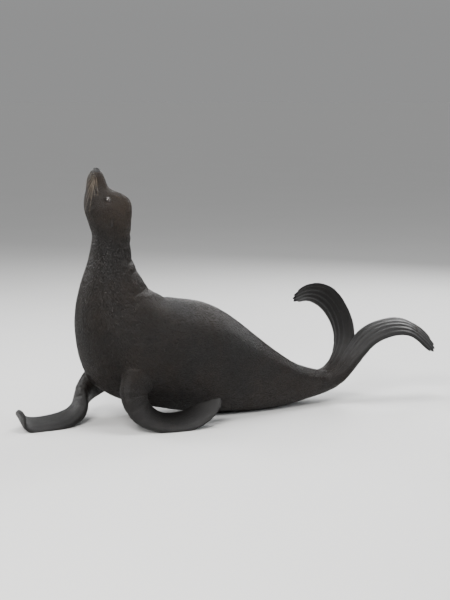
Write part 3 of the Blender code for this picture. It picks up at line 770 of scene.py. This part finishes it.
class Roots:
    """Evenly spread places on the skin, with all that the skin holds mixed from their triangle's corners."""

    def __init__(self, mesh, lie, rng):
        mesh.calc_loop_triangles()
        self.corners = rows_of(mesh.loop_triangles, "vertices", 3, np.int32)
        loops = rows_of(mesh.loop_triangles, "loops", 3, np.int32)
        self.places = rows_of(mesh.uv_layers["OFBake"].uv, "vector", 2, np.float32)[loops]
        self.points = points_of(mesh)
        self.normals = normals_of(mesh)
        self.lie = lie
        self.rng = rng
        edge_a = self.points[self.corners[:, 1]] - self.points[self.corners[:, 0]]
        edge_b = self.points[self.corners[:, 2]] - self.points[self.corners[:, 0]]
        self.areas = np.linalg.norm(np.cross(edge_a, edge_b), axis=1) / 2

    def spread(self, wanted):
        """Roots on the triangles that are wanted, about one for each square of the spacing there."""
        spacing = self.lie.spacing[self.corners].mean(1)
        weights = self.areas * wanted / spacing ** 2
        tries = int(weights.sum() * TRIES)
        chosen = self.rng.choice(len(weights), tries, p=weights / weights.sum())
        a, b = self.rng.random((2, tries))
        flip = a + b > 1
        a[flip] = 1 - a[flip]
        b[flip] = 1 - b[flip]
        shares = np.stack((1 - a - b, a, b), axis=1)
        points = self.mixed(self.points, chosen, shares)
        band = np.round(spacing[chosen] / SPACING_STEP).astype(np.int64)
        cells = np.floor(points / (band * SPACING_STEP)[:, None]).astype(np.int64)
        keys = np.bitwise_xor.reduce(np.column_stack((cells, band)) * KEY_PRIMES, axis=1)
        first = np.unique(keys, return_index=True)[1]
        first.sort()
        return chosen[first], shares[first]

    def mixed(self, values, chosen, shares):
        picked = values[self.corners[chosen]]
        if values.ndim == 1:
            return (picked * shares).sum(1)
        return (picked * shares[:, :, None]).sum(1)


# A tuft's ten faces, how near each of its seven points is to the tip, and where they lie in its patch.
BLADE = np.array(((0, 1, 4), (0, 4, 3), (1, 2, 5), (1, 5, 4), (2, 0, 3), (2, 3, 5),
                  (3, 4, 6), (4, 5, 6), (5, 3, 6), (0, 2, 1)))[:, ::-1]
BLADE_TIP = np.array((0.0, 0.0, 0.0, 0.5, 0.5, 0.5, 1.0))
BLADE_PATCH = np.array(((0, 0), (0.5, 0), (1, 0), (0, 0.5), (0.5, 0.5), (1, 0.5), (0.5, 1))) - 0.5


def blades(points, heading, normal, length, half, lift):
    """Flat pointed tufts, seven points each: two triangular stations and a tip, the root sunk in the skin."""
    across = np.cross(normal, heading)

    def station(along, width, rise):
        middle = points + heading * (length * along)[:, None] + normal * rise[:, None]
        reach = across * (half * width)[:, None]
        ridge = normal * (half * width * 0.32)[:, None]
        return middle - reach, middle + ridge, middle + reach

    sunk = np.full(len(points), -ROOT_SUNK)
    rows = [*station(0.0, 0.75, sunk), *station(0.50, 1.0, lift * 0.60), station(1.0, 0.0, lift)[1]]
    return np.stack(rows, axis=1)


def tuft_mesh(name, places):
    """One mesh of many tufts, and the point of each corner of its faces."""
    count = len(places)
    corners = (BLADE[None] + 7 * np.arange(count)[:, None, None]).reshape(-1)
    mesh = bpy.data.meshes.new(name)
    mesh.vertices.add(7 * count)
    mesh.vertices.foreach_set("co", places.astype(np.float32).ravel())
    mesh.loops.add(30 * count)
    mesh.loops.foreach_set("vertex_index", corners.astype(np.int32))
    mesh.polygons.add(10 * count)
    mesh.polygons.foreach_set("loop_start", np.arange(0, 30 * count, 3, dtype=np.int32))
    mesh.update(calc_edges=True)
    shade_smooth(mesh)
    return mesh, corners


def tufts(name, roots, wanted):
    """A coat piece: flat pointed tufts joined in one mesh, lying along the body in small clumps."""
    rng = roots.rng
    lie = roots.lie
    chosen, shares = roots.spread(wanted)

    def here(values):
        return roots.mixed(values, chosen, shares)

    kept = (here(lie.hair) > SHORTEST_TUFT) & (rng.random(len(chosen)) > 1.25 * here(lie.bare) - 0.15)
    chosen, shares = chosen[kept], shares[kept]
    count = len(chosen)
    normal = unit_rows(here(roots.normals))
    forward = unit_rows(level_with(normal, unit_rows(here(lie.tangent))))
    across = np.cross(normal, forward)
    length = here(lie.hair) * rng.uniform(0.72, 1.28, count)

    # Neighbours lean towards the middle of their clump, and each tuft strays a little.
    flow = here(lie.flow)
    lean = -np.sin(2 * np.pi * (flow[:, 0] / CLUMP + 0.35 * np.sin(flow[:, 2] / CLUMP * 2.1)))
    angle = CLUMP_LEAN * lean + rng.normal(0.0, STRAY, count)
    heading = forward * np.cos(angle)[:, None] + across * np.sin(angle)[:, None]
    depth = COAT_DEPTH * np.clip(length / 0.020, 0.24, 1.15)
    tip_lift = depth * rng.uniform(0.38, 0.92, count)
    half = (0.0005 + 0.076 * length) * rng.uniform(0.8, 1.2, count)

    grown = blades(here(roots.points), heading, normal, length, half, tip_lift)
    grown[:, :, 2] = np.maximum(grown[:, :, 2], 0.0002)
    mesh, corners = tuft_mesh(name, grown)
    places = (roots.places[chosen] * shares[:, :, None]).sum(1)[:, None] + BLADE_PATCH * PATCH
    layer = mesh.uv_layers.new(name="OFBake")
    layer.uv.foreach_set("vector", places.reshape(-1, 2)[corners].astype(np.float32).ravel())
    store(mesh, "tone", np.repeat(rng.random(count), 7))
    store(mesh, "bare", np.repeat(here(lie.bare), 7))
    store(mesh, "tip", np.tile(BLADE_TIP, count))
    return new_object(name, mesh)


def built_coat(skin, lie):
    rng = np.random.default_rng(SEED)
    roots = Roots(skin.data, lie, rng)
    distance = lie.distance[roots.corners].mean(1)
    fin = lie.is_fin[roots.corners].mean(1) > 0.5
    off_floor = roots.points[roots.corners][:, :, 2].max(1) >= FLOOR_TOUCH
    furred = off_floor & (lie.hair[roots.corners].min(1) > 0.0)
    pieces = []
    for name, start, end in REGIONS:
        stretch = (distance >= start) & (distance < end) & (fin == (name == "coat_flippers"))
        pieces.append(tufts(name, roots, (furred & stretch).astype(float)))
    return pieces


# ------ eyes, ears, nails and whiskers
def built_eye(name, eye):
    """An eyeball with a clear bulge over the iris, one closed shell."""
    bm = bmesh.new()
    bmesh.ops.create_uvsphere(bm, u_segments=48, v_segments=32, radius=EYE_RADIUS - 0.0002)
    for vertex in bm.verts:
        angle = vertex.co.angle(Vector((0, 0, 1)))
        vertex.co *= 1 + 0.070 * max(0.0, 1 - (angle / math.radians(34)) ** 2) ** 1.4
    turn = Matrix((eye.ahead, eye.out.cross(eye.ahead), eye.out)).transposed()
    bmesh.ops.rotate(bm, verts=bm.verts, matrix=turn)
    bmesh.ops.translate(bm, verts=bm.verts, vec=eye.centre)
    bmesh.ops.recalc_face_normals(bm, faces=bm.faces)
    mesh = made_mesh(bm, name)
    shade_smooth(mesh)
    store(mesh, "gaze", np.stack(eye.local(points_of(mesh)), axis=1) / EYE_RADIUS)
    return new_object(name, mesh)


def small_node(node, name):
    """An object of a small CAD node, its flat faces joined, with a live subdivision."""
    bm = merged_node(node)
    bmesh.ops.dissolve_limit(bm, angle_limit=math.radians(2), verts=bm.verts, edges=bm.edges)
    return subdivided(bm, name)


EAR_LENGTH = 0.046
EAR_ROOT = 0.012                # length of the flap that runs on into the head
EAR_TUFTS = 760
SHAFT_SIDES, SHAFT_STEPS, SHAFT_SUNK = 5, 9, 0.002
NAIL_BED = 0.0018               # how far a nail's underside sits in the skin


def built_ear(name, side, rng):
    """A rolled ear flap whose root runs on into the head, with short fur along it."""
    thing = small_node(name, name + "_flap")
    mesh = thing.data
    points = points_of(mesh)
    direction = np.array(head.direction(0.42, 0.88, -0.20, side))
    along = points @ direction
    root = smooth_step(along.min() + EAR_ROOT - along, 0.0, EAR_ROOT)
    points -= direction * (root * EAR_ROOT)[:, None]
    points -= np.array(head.left) * (side * root * 0.011)[:, None]
    move_points(mesh, points)
    mesh = finished(thing)
    base = points_of(mesh)
    rows = rng.integers(0, len(base), EAR_TUFTS)
    roots = base[rows] + rng.normal(0.0, 0.0004, (EAR_TUFTS, 3))
    normal = normals_of(mesh)[rows]
    heading = direction + rng.normal(0.0, 0.10, (EAR_TUFTS, 3))
    heading = unit_rows(level_with(normal, heading))
    length = rng.uniform(0.0045, 0.0075, EAR_TUFTS)
    length *= 1 - 0.5 * (roots @ direction - along.min()) / EAR_LENGTH
    fur, corners = tuft_mesh(name, blades(roots, heading, normal, length, 0.14 * length, 0.20 * length))
    bm = opened(mesh)
    bm.from_mesh(fur)
    shade_smooth(closed(bm, mesh))
    bpy.data.meshes.remove(fur)
    flap = np.full(len(base), 0.3)
    store(mesh, "tone", np.concatenate((flap, np.repeat(rng.random(EAR_TUFTS), 7))))
    store(mesh, "tip", np.concatenate((0 * flap, np.tile(BLADE_TIP, EAR_TUFTS))))
    store(mesh, "along_flap", (points_of(mesh) @ direction - along.min()) / EAR_LENGTH)
    return thing


def built_nail(node, skin_tree):
    """A nail bedded in the flipper's skin."""
    thing = small_node(node, node + "_horn")
    mesh = finished(thing)
    points = points_of(mesh)
    middle = Vector(points.mean(0))
    spot = skin_tree.find_nearest(middle)[0]
    out = np.array((middle - spot).normalized())
    height = (points - np.array(spot)) @ out
    move_points(mesh, points - out * (height.min() + NAIL_BED))
    shade_smooth(mesh)
    return thing


def add_shaft(bm, path, radius):
    """A stiff tapered hair along a path of points, closed at both ends."""
    ring = bmesh.ops.create_circle(bm, cap_ends=True, segments=SHAFT_SIDES, radius=radius)["verts"]
    first = (path[1] - path[0]).normalized()
    turn = first.to_track_quat("Z", "Y").to_matrix()
    bmesh.ops.rotate(bm, verts=ring, matrix=turn)
    bmesh.ops.translate(bm, verts=ring, vec=path[0])
    face = ring[0].link_faces[0]
    for k in range(1, len(path)):
        geometry = bmesh.ops.extrude_face_region(bm, geom=[face])["geom"]
        face = next(item for item in geometry if isinstance(item, bmesh.types.BMFace))
        verts = list(face.verts)
        ahead = path[min(k + 1, len(path) - 1)] - path[k - 1]
        taper = (1 - k / len(path)) ** 0.7 / (1 - (k - 1) / len(path)) ** 0.7
        centre = sum((v.co for v in verts), Vector()) / len(verts)
        before = (path[k] - path[k - 1]) if k == 1 else (path[k] - path[k - 2])
        swing = before.rotation_difference(ahead).to_matrix()
        for vertex in verts:
            vertex.co = path[k] + swing @ ((vertex.co - centre) * taper)


def whisker_path(place, direction, droop, length):
    """Points from a root sunk in the skin to the whisker's tip."""
    root = place - direction * SHAFT_SUNK
    shares = [k / SHAFT_STEPS for k in range(SHAFT_STEPS + 1)]
    return [root + direction * (length * share) + droop * share ** 2 for share in shares]


def built_whiskers(skin_tree):
    """Stiff whiskers in rows on the upper lip, the hind ones longest, and two short ones over each eye."""
    rng = np.random.default_rng(SEED + 1)
    bm = bmesh.new()

    def on_skin(along, up, side):
        return skin_tree.ray_cast(head.point(along, up, side * 0.5), -head.left * side)[0]

    for name, side in SIDES:
        for row, column, along, up in whisker_places():
            length = (0.050 + 0.022 * column) * (1 - 0.12 * row) * rng.uniform(0.85, 1.10)
            outward = head.direction(1.0, 0.30 * column - 0.55, 0.26 * row - 0.72, side)
            droop = head.back * (0.42 * length) - head.crown * (0.16 * length)
            droop += Vector(rng.normal(0, 0.05 * length, 3))
            path = whisker_path(on_skin(along, up, side), outward, droop, length)
            add_shaft(bm, path, 0.00030 + 0.00005 * column)
        for along, up in ((0.505, 0.205), (0.525, 0.220)):
            outward = head.direction(0.70, 0.15, 0.55, side)
            length = 0.032 + 0.2 * (along - 0.5)
            path = whisker_path(on_skin(along, up, side), outward, head.back * 0.012, length)
            add_shaft(bm, path, 0.00036)
    bmesh.ops.recalc_face_normals(bm, faces=bm.faces)
    mesh = made_mesh(bm, "whiskers")
    shade_smooth(mesh)
    return new_object("whiskers", mesh)


# ------ materials
class Value:
    """A node's output in a material, so that sums on it are written as plain expressions."""

    def __init__(self, book, socket):
        self.book = book
        self.socket = socket

    def sum(self, operation, *others):
        return self.book.node("ShaderNodeMath", {"operation": operation}, dict(enumerate((self, *others))))

    def __add__(self, other):
        return self.sum("ADD", other)

    def __mul__(self, other):
        return self.sum("MULTIPLY", other)

    __radd__ = __add__
    __rmul__ = __mul__

    def __sub__(self, other):
        return self.sum("SUBTRACT", other)

    def __rsub__(self, other):
        return self.book.node("ShaderNodeMath", {"operation": "SUBTRACT"}, {0: other, 1: self})

    def __pow__(self, other):
        return self.sum("POWER", other)

    def limit(self, low, high):
        """0 below low, 1 above high, smooth between."""
        inputs = {"Value": self, "From Min": low, "From Max": high}
        return self.book.node("ShaderNodeMapRange", {"interpolation_type": "SMOOTHSTEP"}, inputs)


class Nodes:
    """The nodes of a material or of the world."""

    def __init__(self, owner):
        self.owner = owner
        owner.use_nodes = True
        self.tree = owner.node_tree

    def node(self, kind, settings=None, inputs=None, output=0):
        made = self.tree.nodes.new(kind)
        for name, value in (settings or {}).items():
            setattr(made, name, value)
        for name, value in (inputs or {}).items():
            self.join(made.inputs[name], value)
        return Value(self, made.outputs[output])

    def join(self, socket, value):
        if isinstance(value, Value):
            self.tree.links.new(value.socket, socket)
        elif isinstance(value, tuple) and len(value) == 3 and socket.type == "RGBA":
            socket.default_value = (*value, 1.0)
        else:
            socket.default_value = value

    def part(self, vector, axis):
        return self.node("ShaderNodeSeparateXYZ", None, {0: vector}, axis)


class Finish(Nodes):
    """One material, with the looks that its pieces have all over."""

    def __init__(self, name, **constants):
        super().__init__(bpy.data.materials.new(name))
        self.shade(**constants)

    def shade(self, **inputs):
        for name, value in inputs.items():
            self.join(self.tree.nodes["Principled BSDF"].inputs[name.replace("_", " ")], value)
        return self.owner

    def place(self):
        return self.node("ShaderNodeTexCoord", output="Object")

    def attribute(self, name, output="Fac"):
        return self.node("ShaderNodeAttribute", {"attribute_name": name}, output=output)

    def noise(self, vector, scale, detail=3.0, roughness=0.55):
        inputs = {"Vector": vector, "Scale": scale, "Detail": detail, "Roughness": roughness}
        return self.node("ShaderNodeTexNoise", None, inputs)

    def cells(self, vector, scale, feature="DISTANCE_TO_EDGE"):
        return self.node("ShaderNodeTexVoronoi", {"feature": feature}, {"Vector": vector, "Scale": scale})

    def stretched(self, vector, scale):
        return self.node("ShaderNodeMapping", None, {"Vector": vector, "Scale": scale})

    def blend(self, share, first, second):
        """The first colour where the share is 0, the second where it is 1."""
        inputs = {"Factor": share, "A": first, "B": second}
        return self.node("ShaderNodeMix", {"data_type": "RGBA"}, inputs, "Result")

    def tint(self, colour, amount):
        """A colour made lighter or darker by an amount about 1."""
        return self.node("ShaderNodeVectorMath", {"operation": "SCALE"}, {0: colour, "Scale": amount})

    def bump(self, height, strength, distance):
        inputs = {"Height": height, "Strength": strength, "Distance": distance}
        return self.node("ShaderNodeBump", None, inputs)

    def near(self, place, centre, low, high):
        """1 at a place on the animal, fading to 0."""
        gap = self.node("ShaderNodeVectorMath", {"operation": "DISTANCE"}, {0: place, 1: centre}, "Value")
        return 1 - gap.limit(low, high)

    def coat_colour(self, place):
        """The coat's markings, the same on skin and tufts."""
        patches = self.noise(place, 3.4, 4.0, 0.6).limit(0.36, 0.68)
        flecks = self.noise(place, 38.0, 3.0, 0.6).limit(0.35, 0.70)
        crest = self.near(place, CREST_CENTRE, 0.05, 0.26)
        muzzle = self.near(place, MUZZLE_CENTRE, 0.03, 0.13)
        colour = self.blend(crest * 0.75 + muzzle * 0.35, self.blend(patches, SABLE, UMBER), TAWNY)
        return self.tint(colour, flecks * 0.45 + 0.78)


# Colours, as the linear values that the materials take.
UMBER = (0.0092, 0.0058, 0.0040)        # the wet coat
SABLE = (0.0042, 0.0031, 0.0026)        # its darkest patches
TAWNY = (0.0240, 0.0160, 0.0105)        # crest and muzzle
SLATE = (0.0036, 0.0032, 0.0031)        # bare flippers
SLATE_WORN = (0.0090, 0.0076, 0.0068)
PITCH = (0.0045, 0.0042, 0.0043)        # nose and lids
BONE, BONE_DARK = (0.27, 0.22, 0.155), (0.18, 0.13, 0.085)      # whiskers
IRIS_DARK, IRIS_PALE = (0.008, 0.0040, 0.0022), (0.034, 0.016, 0.0075)
PUPIL, EYE_RIM = (0.0012, 0.0011, 0.0011), (0.0045, 0.0034, 0.0030)
FLOOR_COLOURS = (0.60, 0.60, 0.595), (0.64, 0.64, 0.635)
HORN, HORN_DARK = (0.052, 0.040, 0.031), (0.024, 0.018, 0.014)
CREST_CENTRE = tuple(head.point(0.72, 0.42, 0.0))
MUZZLE_CENTRE = tuple(head.point(0.16, -0.02, 0.0))


def skin_material():
    """Furred skin, bare flippers, nose pad and lids, blended by the skin's own masks."""
    finish = Finish("wet_coat_skin", IOR=1.45, Coat_Roughness=0.18, Specular_IOR_Level=0.32)
    place = finish.place()
    flow = finish.attribute("flow", "Vector")
    bare = finish.attribute("bare")
    pad = finish.attribute("pad")
    lid = finish.attribute("lid")
    wet_black = pad.sum("MAXIMUM", lid)

    streaks = finish.noise(finish.stretched(flow, (420.0, 420.0, 42.0)), 1.0, 4.0, 0.6)
    locks = finish.noise(finish.stretched(flow, (95.0, 95.0, 13.0)), 1.0, 3.0, 0.5)
    creases = finish.cells(finish.stretched(flow, (62.0, 62.0, 34.0)), 1.0).limit(0.0, 0.13)
    fine_creases = finish.cells(place, 330.0).limit(0.0, 0.16)
    long_lines = finish.noise(finish.stretched(flow, (150.0, 60.0, 9.0)), 1.0, 3.0, 0.6)
    pebbles = finish.cells(place, 640.0, "F1")

    fur = streaks * 0.55 + locks * 0.9
    leather = creases * 0.20 + fine_creases * 0.14 + long_lines * 1.0
    height = fur * (1 - bare) + leather * bare
    height = height * (1 - wet_black) + pebbles * pad * -0.45
    relief = finish.bump(height, 0.75, 0.0022)

    worn = finish.noise(place, 17.0, 5.0, 0.65).limit(0.50, 0.74) * (creases * 0.2 + 0.8)
    leather_colour = finish.blend(worn * 0.8, SLATE, SLATE_WORN)
    colour = finish.blend(bare, finish.coat_colour(place), leather_colour)
    colour = finish.blend(wet_black, colour, PITCH)
    damp = finish.noise(place, 9.0, 4.0, 0.6)
    rough = (damp * 0.20 + 0.36) * (1 - bare) + (damp * 0.24 + 0.37) * bare
    rough = rough * (1 - wet_black) + wet_black * 0.30 + pad * 0.20
    return finish.shade(Base_Color=colour, Roughness=rough, Normal=relief, Coat_Weight=lid * 0.25)


def tuft_material():
    finish = Finish("wet_coat", IOR=1.5, Specular_IOR_Level=0.36)
    place = finish.place()
    tone = finish.attribute("tone")
    tip = finish.attribute("tip")
    colour = finish.coat_colour(place)
    colour = finish.tint(colour, tone * 0.60 + 0.66 + tip * 0.35)
    colour = finish.blend(finish.attribute("bare"), colour, SLATE)
    damp = finish.noise(place, 9.0, 4.0, 0.6)
    return finish.shade(Base_Color=colour, Roughness=damp * 0.20 + 0.27 + tone * 0.10)


def eye_material():
    """Dark brown iris with fine rays, a black pupil, and a wet shine over all."""
    finish = Finish("wet_eye", IOR=1.38, Coat_Weight=1.0, Coat_Roughness=0.05)
    gaze = finish.attribute("gaze", "Vector")
    x = finish.part(gaze, "X")
    y = finish.part(gaze, "Y")
    radius = (x * x + y * y * 0.86) ** 0.5
    rays = finish.noise(finish.stretched(gaze, (9.0, 9.0, 2.0)), 2.0, 6.0, 0.7)
    iris = finish.blend(rays.limit(0.35, 0.72), IRIS_DARK, IRIS_PALE)
    colour = finish.blend(radius.limit(0.18, 0.23), PUPIL, iris)
    colour = finish.blend(radius.limit(0.50, 0.58), colour, EYE_RIM)
    return finish.shade(Base_Color=colour, Roughness=rays * 0.10 + 0.14)


def horn_material():
    finish = Finish("nail_horn", IOR=1.5)
    place = finish.place()
    bands = finish.noise(place, 260.0, 3.0, 0.6)
    colour = finish.blend(bands.limit(0.35, 0.7), HORN, HORN_DARK)
    relief = finish.bump(bands, 0.5, 0.0006)
    return finish.shade(Base_Color=colour, Roughness=bands * 0.2 + 0.28, Normal=relief)


def ear_material():
    """Close fur along the flap, barer and darker at its tip."""
    finish = Finish("ear_fur", IOR=1.45, Specular_IOR_Level=0.3)
    place = finish.place()
    shade = finish.attribute("tone") * 0.6 + 0.50 + finish.attribute("tip") * 0.35
    grain = finish.noise(place, 420.0, 3.0, 0.6)
    barer = finish.attribute("along_flap").limit(0.5, 1.0) * 0.7
    colour = finish.blend(barer, finish.coat_colour(place), PITCH)
    return finish.shade(Base_Color=finish.tint(colour, shade), Roughness=grain * 0.2 + 0.36)


def whisker_material():
    finish = Finish("whisker_bristle", IOR=1.5)
    place = finish.place()
    bands = finish.noise(place, 60.0, 2.0, 0.5)
    colour = finish.blend(bands.limit(0.3, 0.7), BONE, BONE_DARK)
    return finish.shade(Base_Color=colour, Roughness=bands * 0.15 + 0.28)


def floor_material():
    finish = Finish("studio_floor", IOR=1.4)
    haze = finish.noise(finish.place(), 0.8, 3.0, 0.5)
    colour = finish.blend(haze, *FLOOR_COLOURS)
    return finish.shade(Base_Color=colour, Roughness=haze * 0.1 + 0.62)


# ------ the studio
CAMERA_DISTANCE, CAMERA_TURN, CAMERA_RISE = 8.0, -25.0, 8.0
CAMERA_TARGET = (-0.035, 0.041, 0.616)
FRAME_HEIGHT = 3.30             # what the frame's long side takes in at the target
SENSOR = 36.0
FLOOR_RADIUS = 400.0
SKY_LOW, SKY_HIGH = 0.305, 0.490        # the light from the horizon matches the far floor, so no edge shows
SKY_COLOUR = (0.99, 0.995, 1.0)
LIT_PLACE = (-0.2, 0.0, 0.5)            # where the lights point
WHITE = (1.0, 1.0, 1.0)
LIGHTS = (                              # name, place, width and height, watts, colour
    ("key", (-3.6, -4.2, 4.2), (2.6, 1.8), 600.0, (1.0, 0.985, 0.96)),
    ("fill", (4.6, -4.2, 2.4), (2.4, 2.4), 170.0, (0.95, 0.97, 1.0)),
    ("rim_left", (-3.8, 4.0, 3.4), (2.4, 3.0), 320.0, WHITE),
    ("rim_right", (4.0, 3.6, 3.6), (2.4, 3.0), 320.0, WHITE),
    ("top", (0.0, 0.2, 4.6), (3.6, 1.2), 230.0, WHITE),
)


def aim(thing, place, target):
    thing.location = place
    thing.rotation_euler = (place - target).to_track_quat("Z", "Y").to_euler()


def add_camera():
    data = bpy.data.cameras.new("camera")
    data.sensor_width = SENSOR
    data.lens = SENSOR * CAMERA_DISTANCE / FRAME_HEIGHT
    data.clip_end = 2 * FLOOR_RADIUS
    camera = new_object("camera", data)
    turn = math.radians(CAMERA_TURN)
    rise = math.radians(CAMERA_RISE)
    away = Vector((math.sin(turn) * math.cos(rise), -math.cos(turn) * math.cos(rise), math.sin(rise)))
    target = Vector(ANCHOR) + Vector(CAMERA_TARGET)
    aim(camera, target + away * CAMERA_DISTANCE, target)
    bpy.context.scene.camera = camera


def add_light(name, place, size, power, colour):
    data = bpy.data.lights.new(name, "AREA")
    data.shape = "RECTANGLE"
    data.size, data.size_y = size
    data.energy = power
    data.color = colour
    light = new_object(name, data)
    aim(light, Vector(place), Vector(LIT_PLACE))


def add_studio():
    bm = bmesh.new()
    bmesh.ops.create_circle(bm, cap_ends=True, segments=64, radius=FLOOR_RADIUS)
    floor = new_object("floor", made_mesh(bm, "floor"))
    floor.data.materials.append(floor_material())
    world = bpy.data.worlds.new("studio")
    bpy.context.scene.world = world
    sky = Nodes(world)
    height = sky.part(sky.node("ShaderNodeTexCoord", output="Generated"), "Z")
    inputs = {"Value": height, "From Min": 0.05, "From Max": 0.55, "To Min": SKY_LOW, "To Max": SKY_HIGH}
    background = sky.tree.nodes["Background"].inputs
    sky.join(background["Strength"], sky.node("ShaderNodeMapRange", None, inputs))
    sky.join(background["Color"], SKY_COLOUR)
    for light in LIGHTS:
        add_light(*light)


# ------ the whole animal
def dressed(piece, material, slot, *nodes):
    """Gives a piece its finish and its body, and hides the CAD nodes that it stands for. The slot is not
    used.
    """
    piece.data.materials.clear()
    piece.data.materials.append(material)
    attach(piece, "root")
    if nodes:
        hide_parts(*nodes)


add_camera()
add_studio()
skin, lie = built_skin()
unwrapped(skin)
dressed(skin, skin_material(), "coat", *BODY_FLESH, *FIN_FLESH)
skin_tree = BVHTree.FromObject(skin, bpy.context.evaluated_depsgraph_get())
wet_coat = tuft_material()
for piece in built_coat(skin, lie):
    dressed(piece, wet_coat, "coat")
wet_eye = eye_material()
ear_skin = ear_material()
ear_rng = np.random.default_rng(SEED + 2)
horn = horn_material()
for (name, side), eye in zip(SIDES, eye_frames):
    dressed(built_eye("eyeball_" + name, eye), wet_eye, "eye", "eye_" + name)
    dressed(built_ear("ear_" + name, side, ear_rng), ear_skin, "skin", "ear_" + name)
    for number in (1, 2, 3):
        node = "nail_{}_{}".format(name, number)
        dressed(built_nail(node, skin_tree), horn, "horn", node)
dressed(built_whiskers(skin_tree), whisker_material(), "whisker")
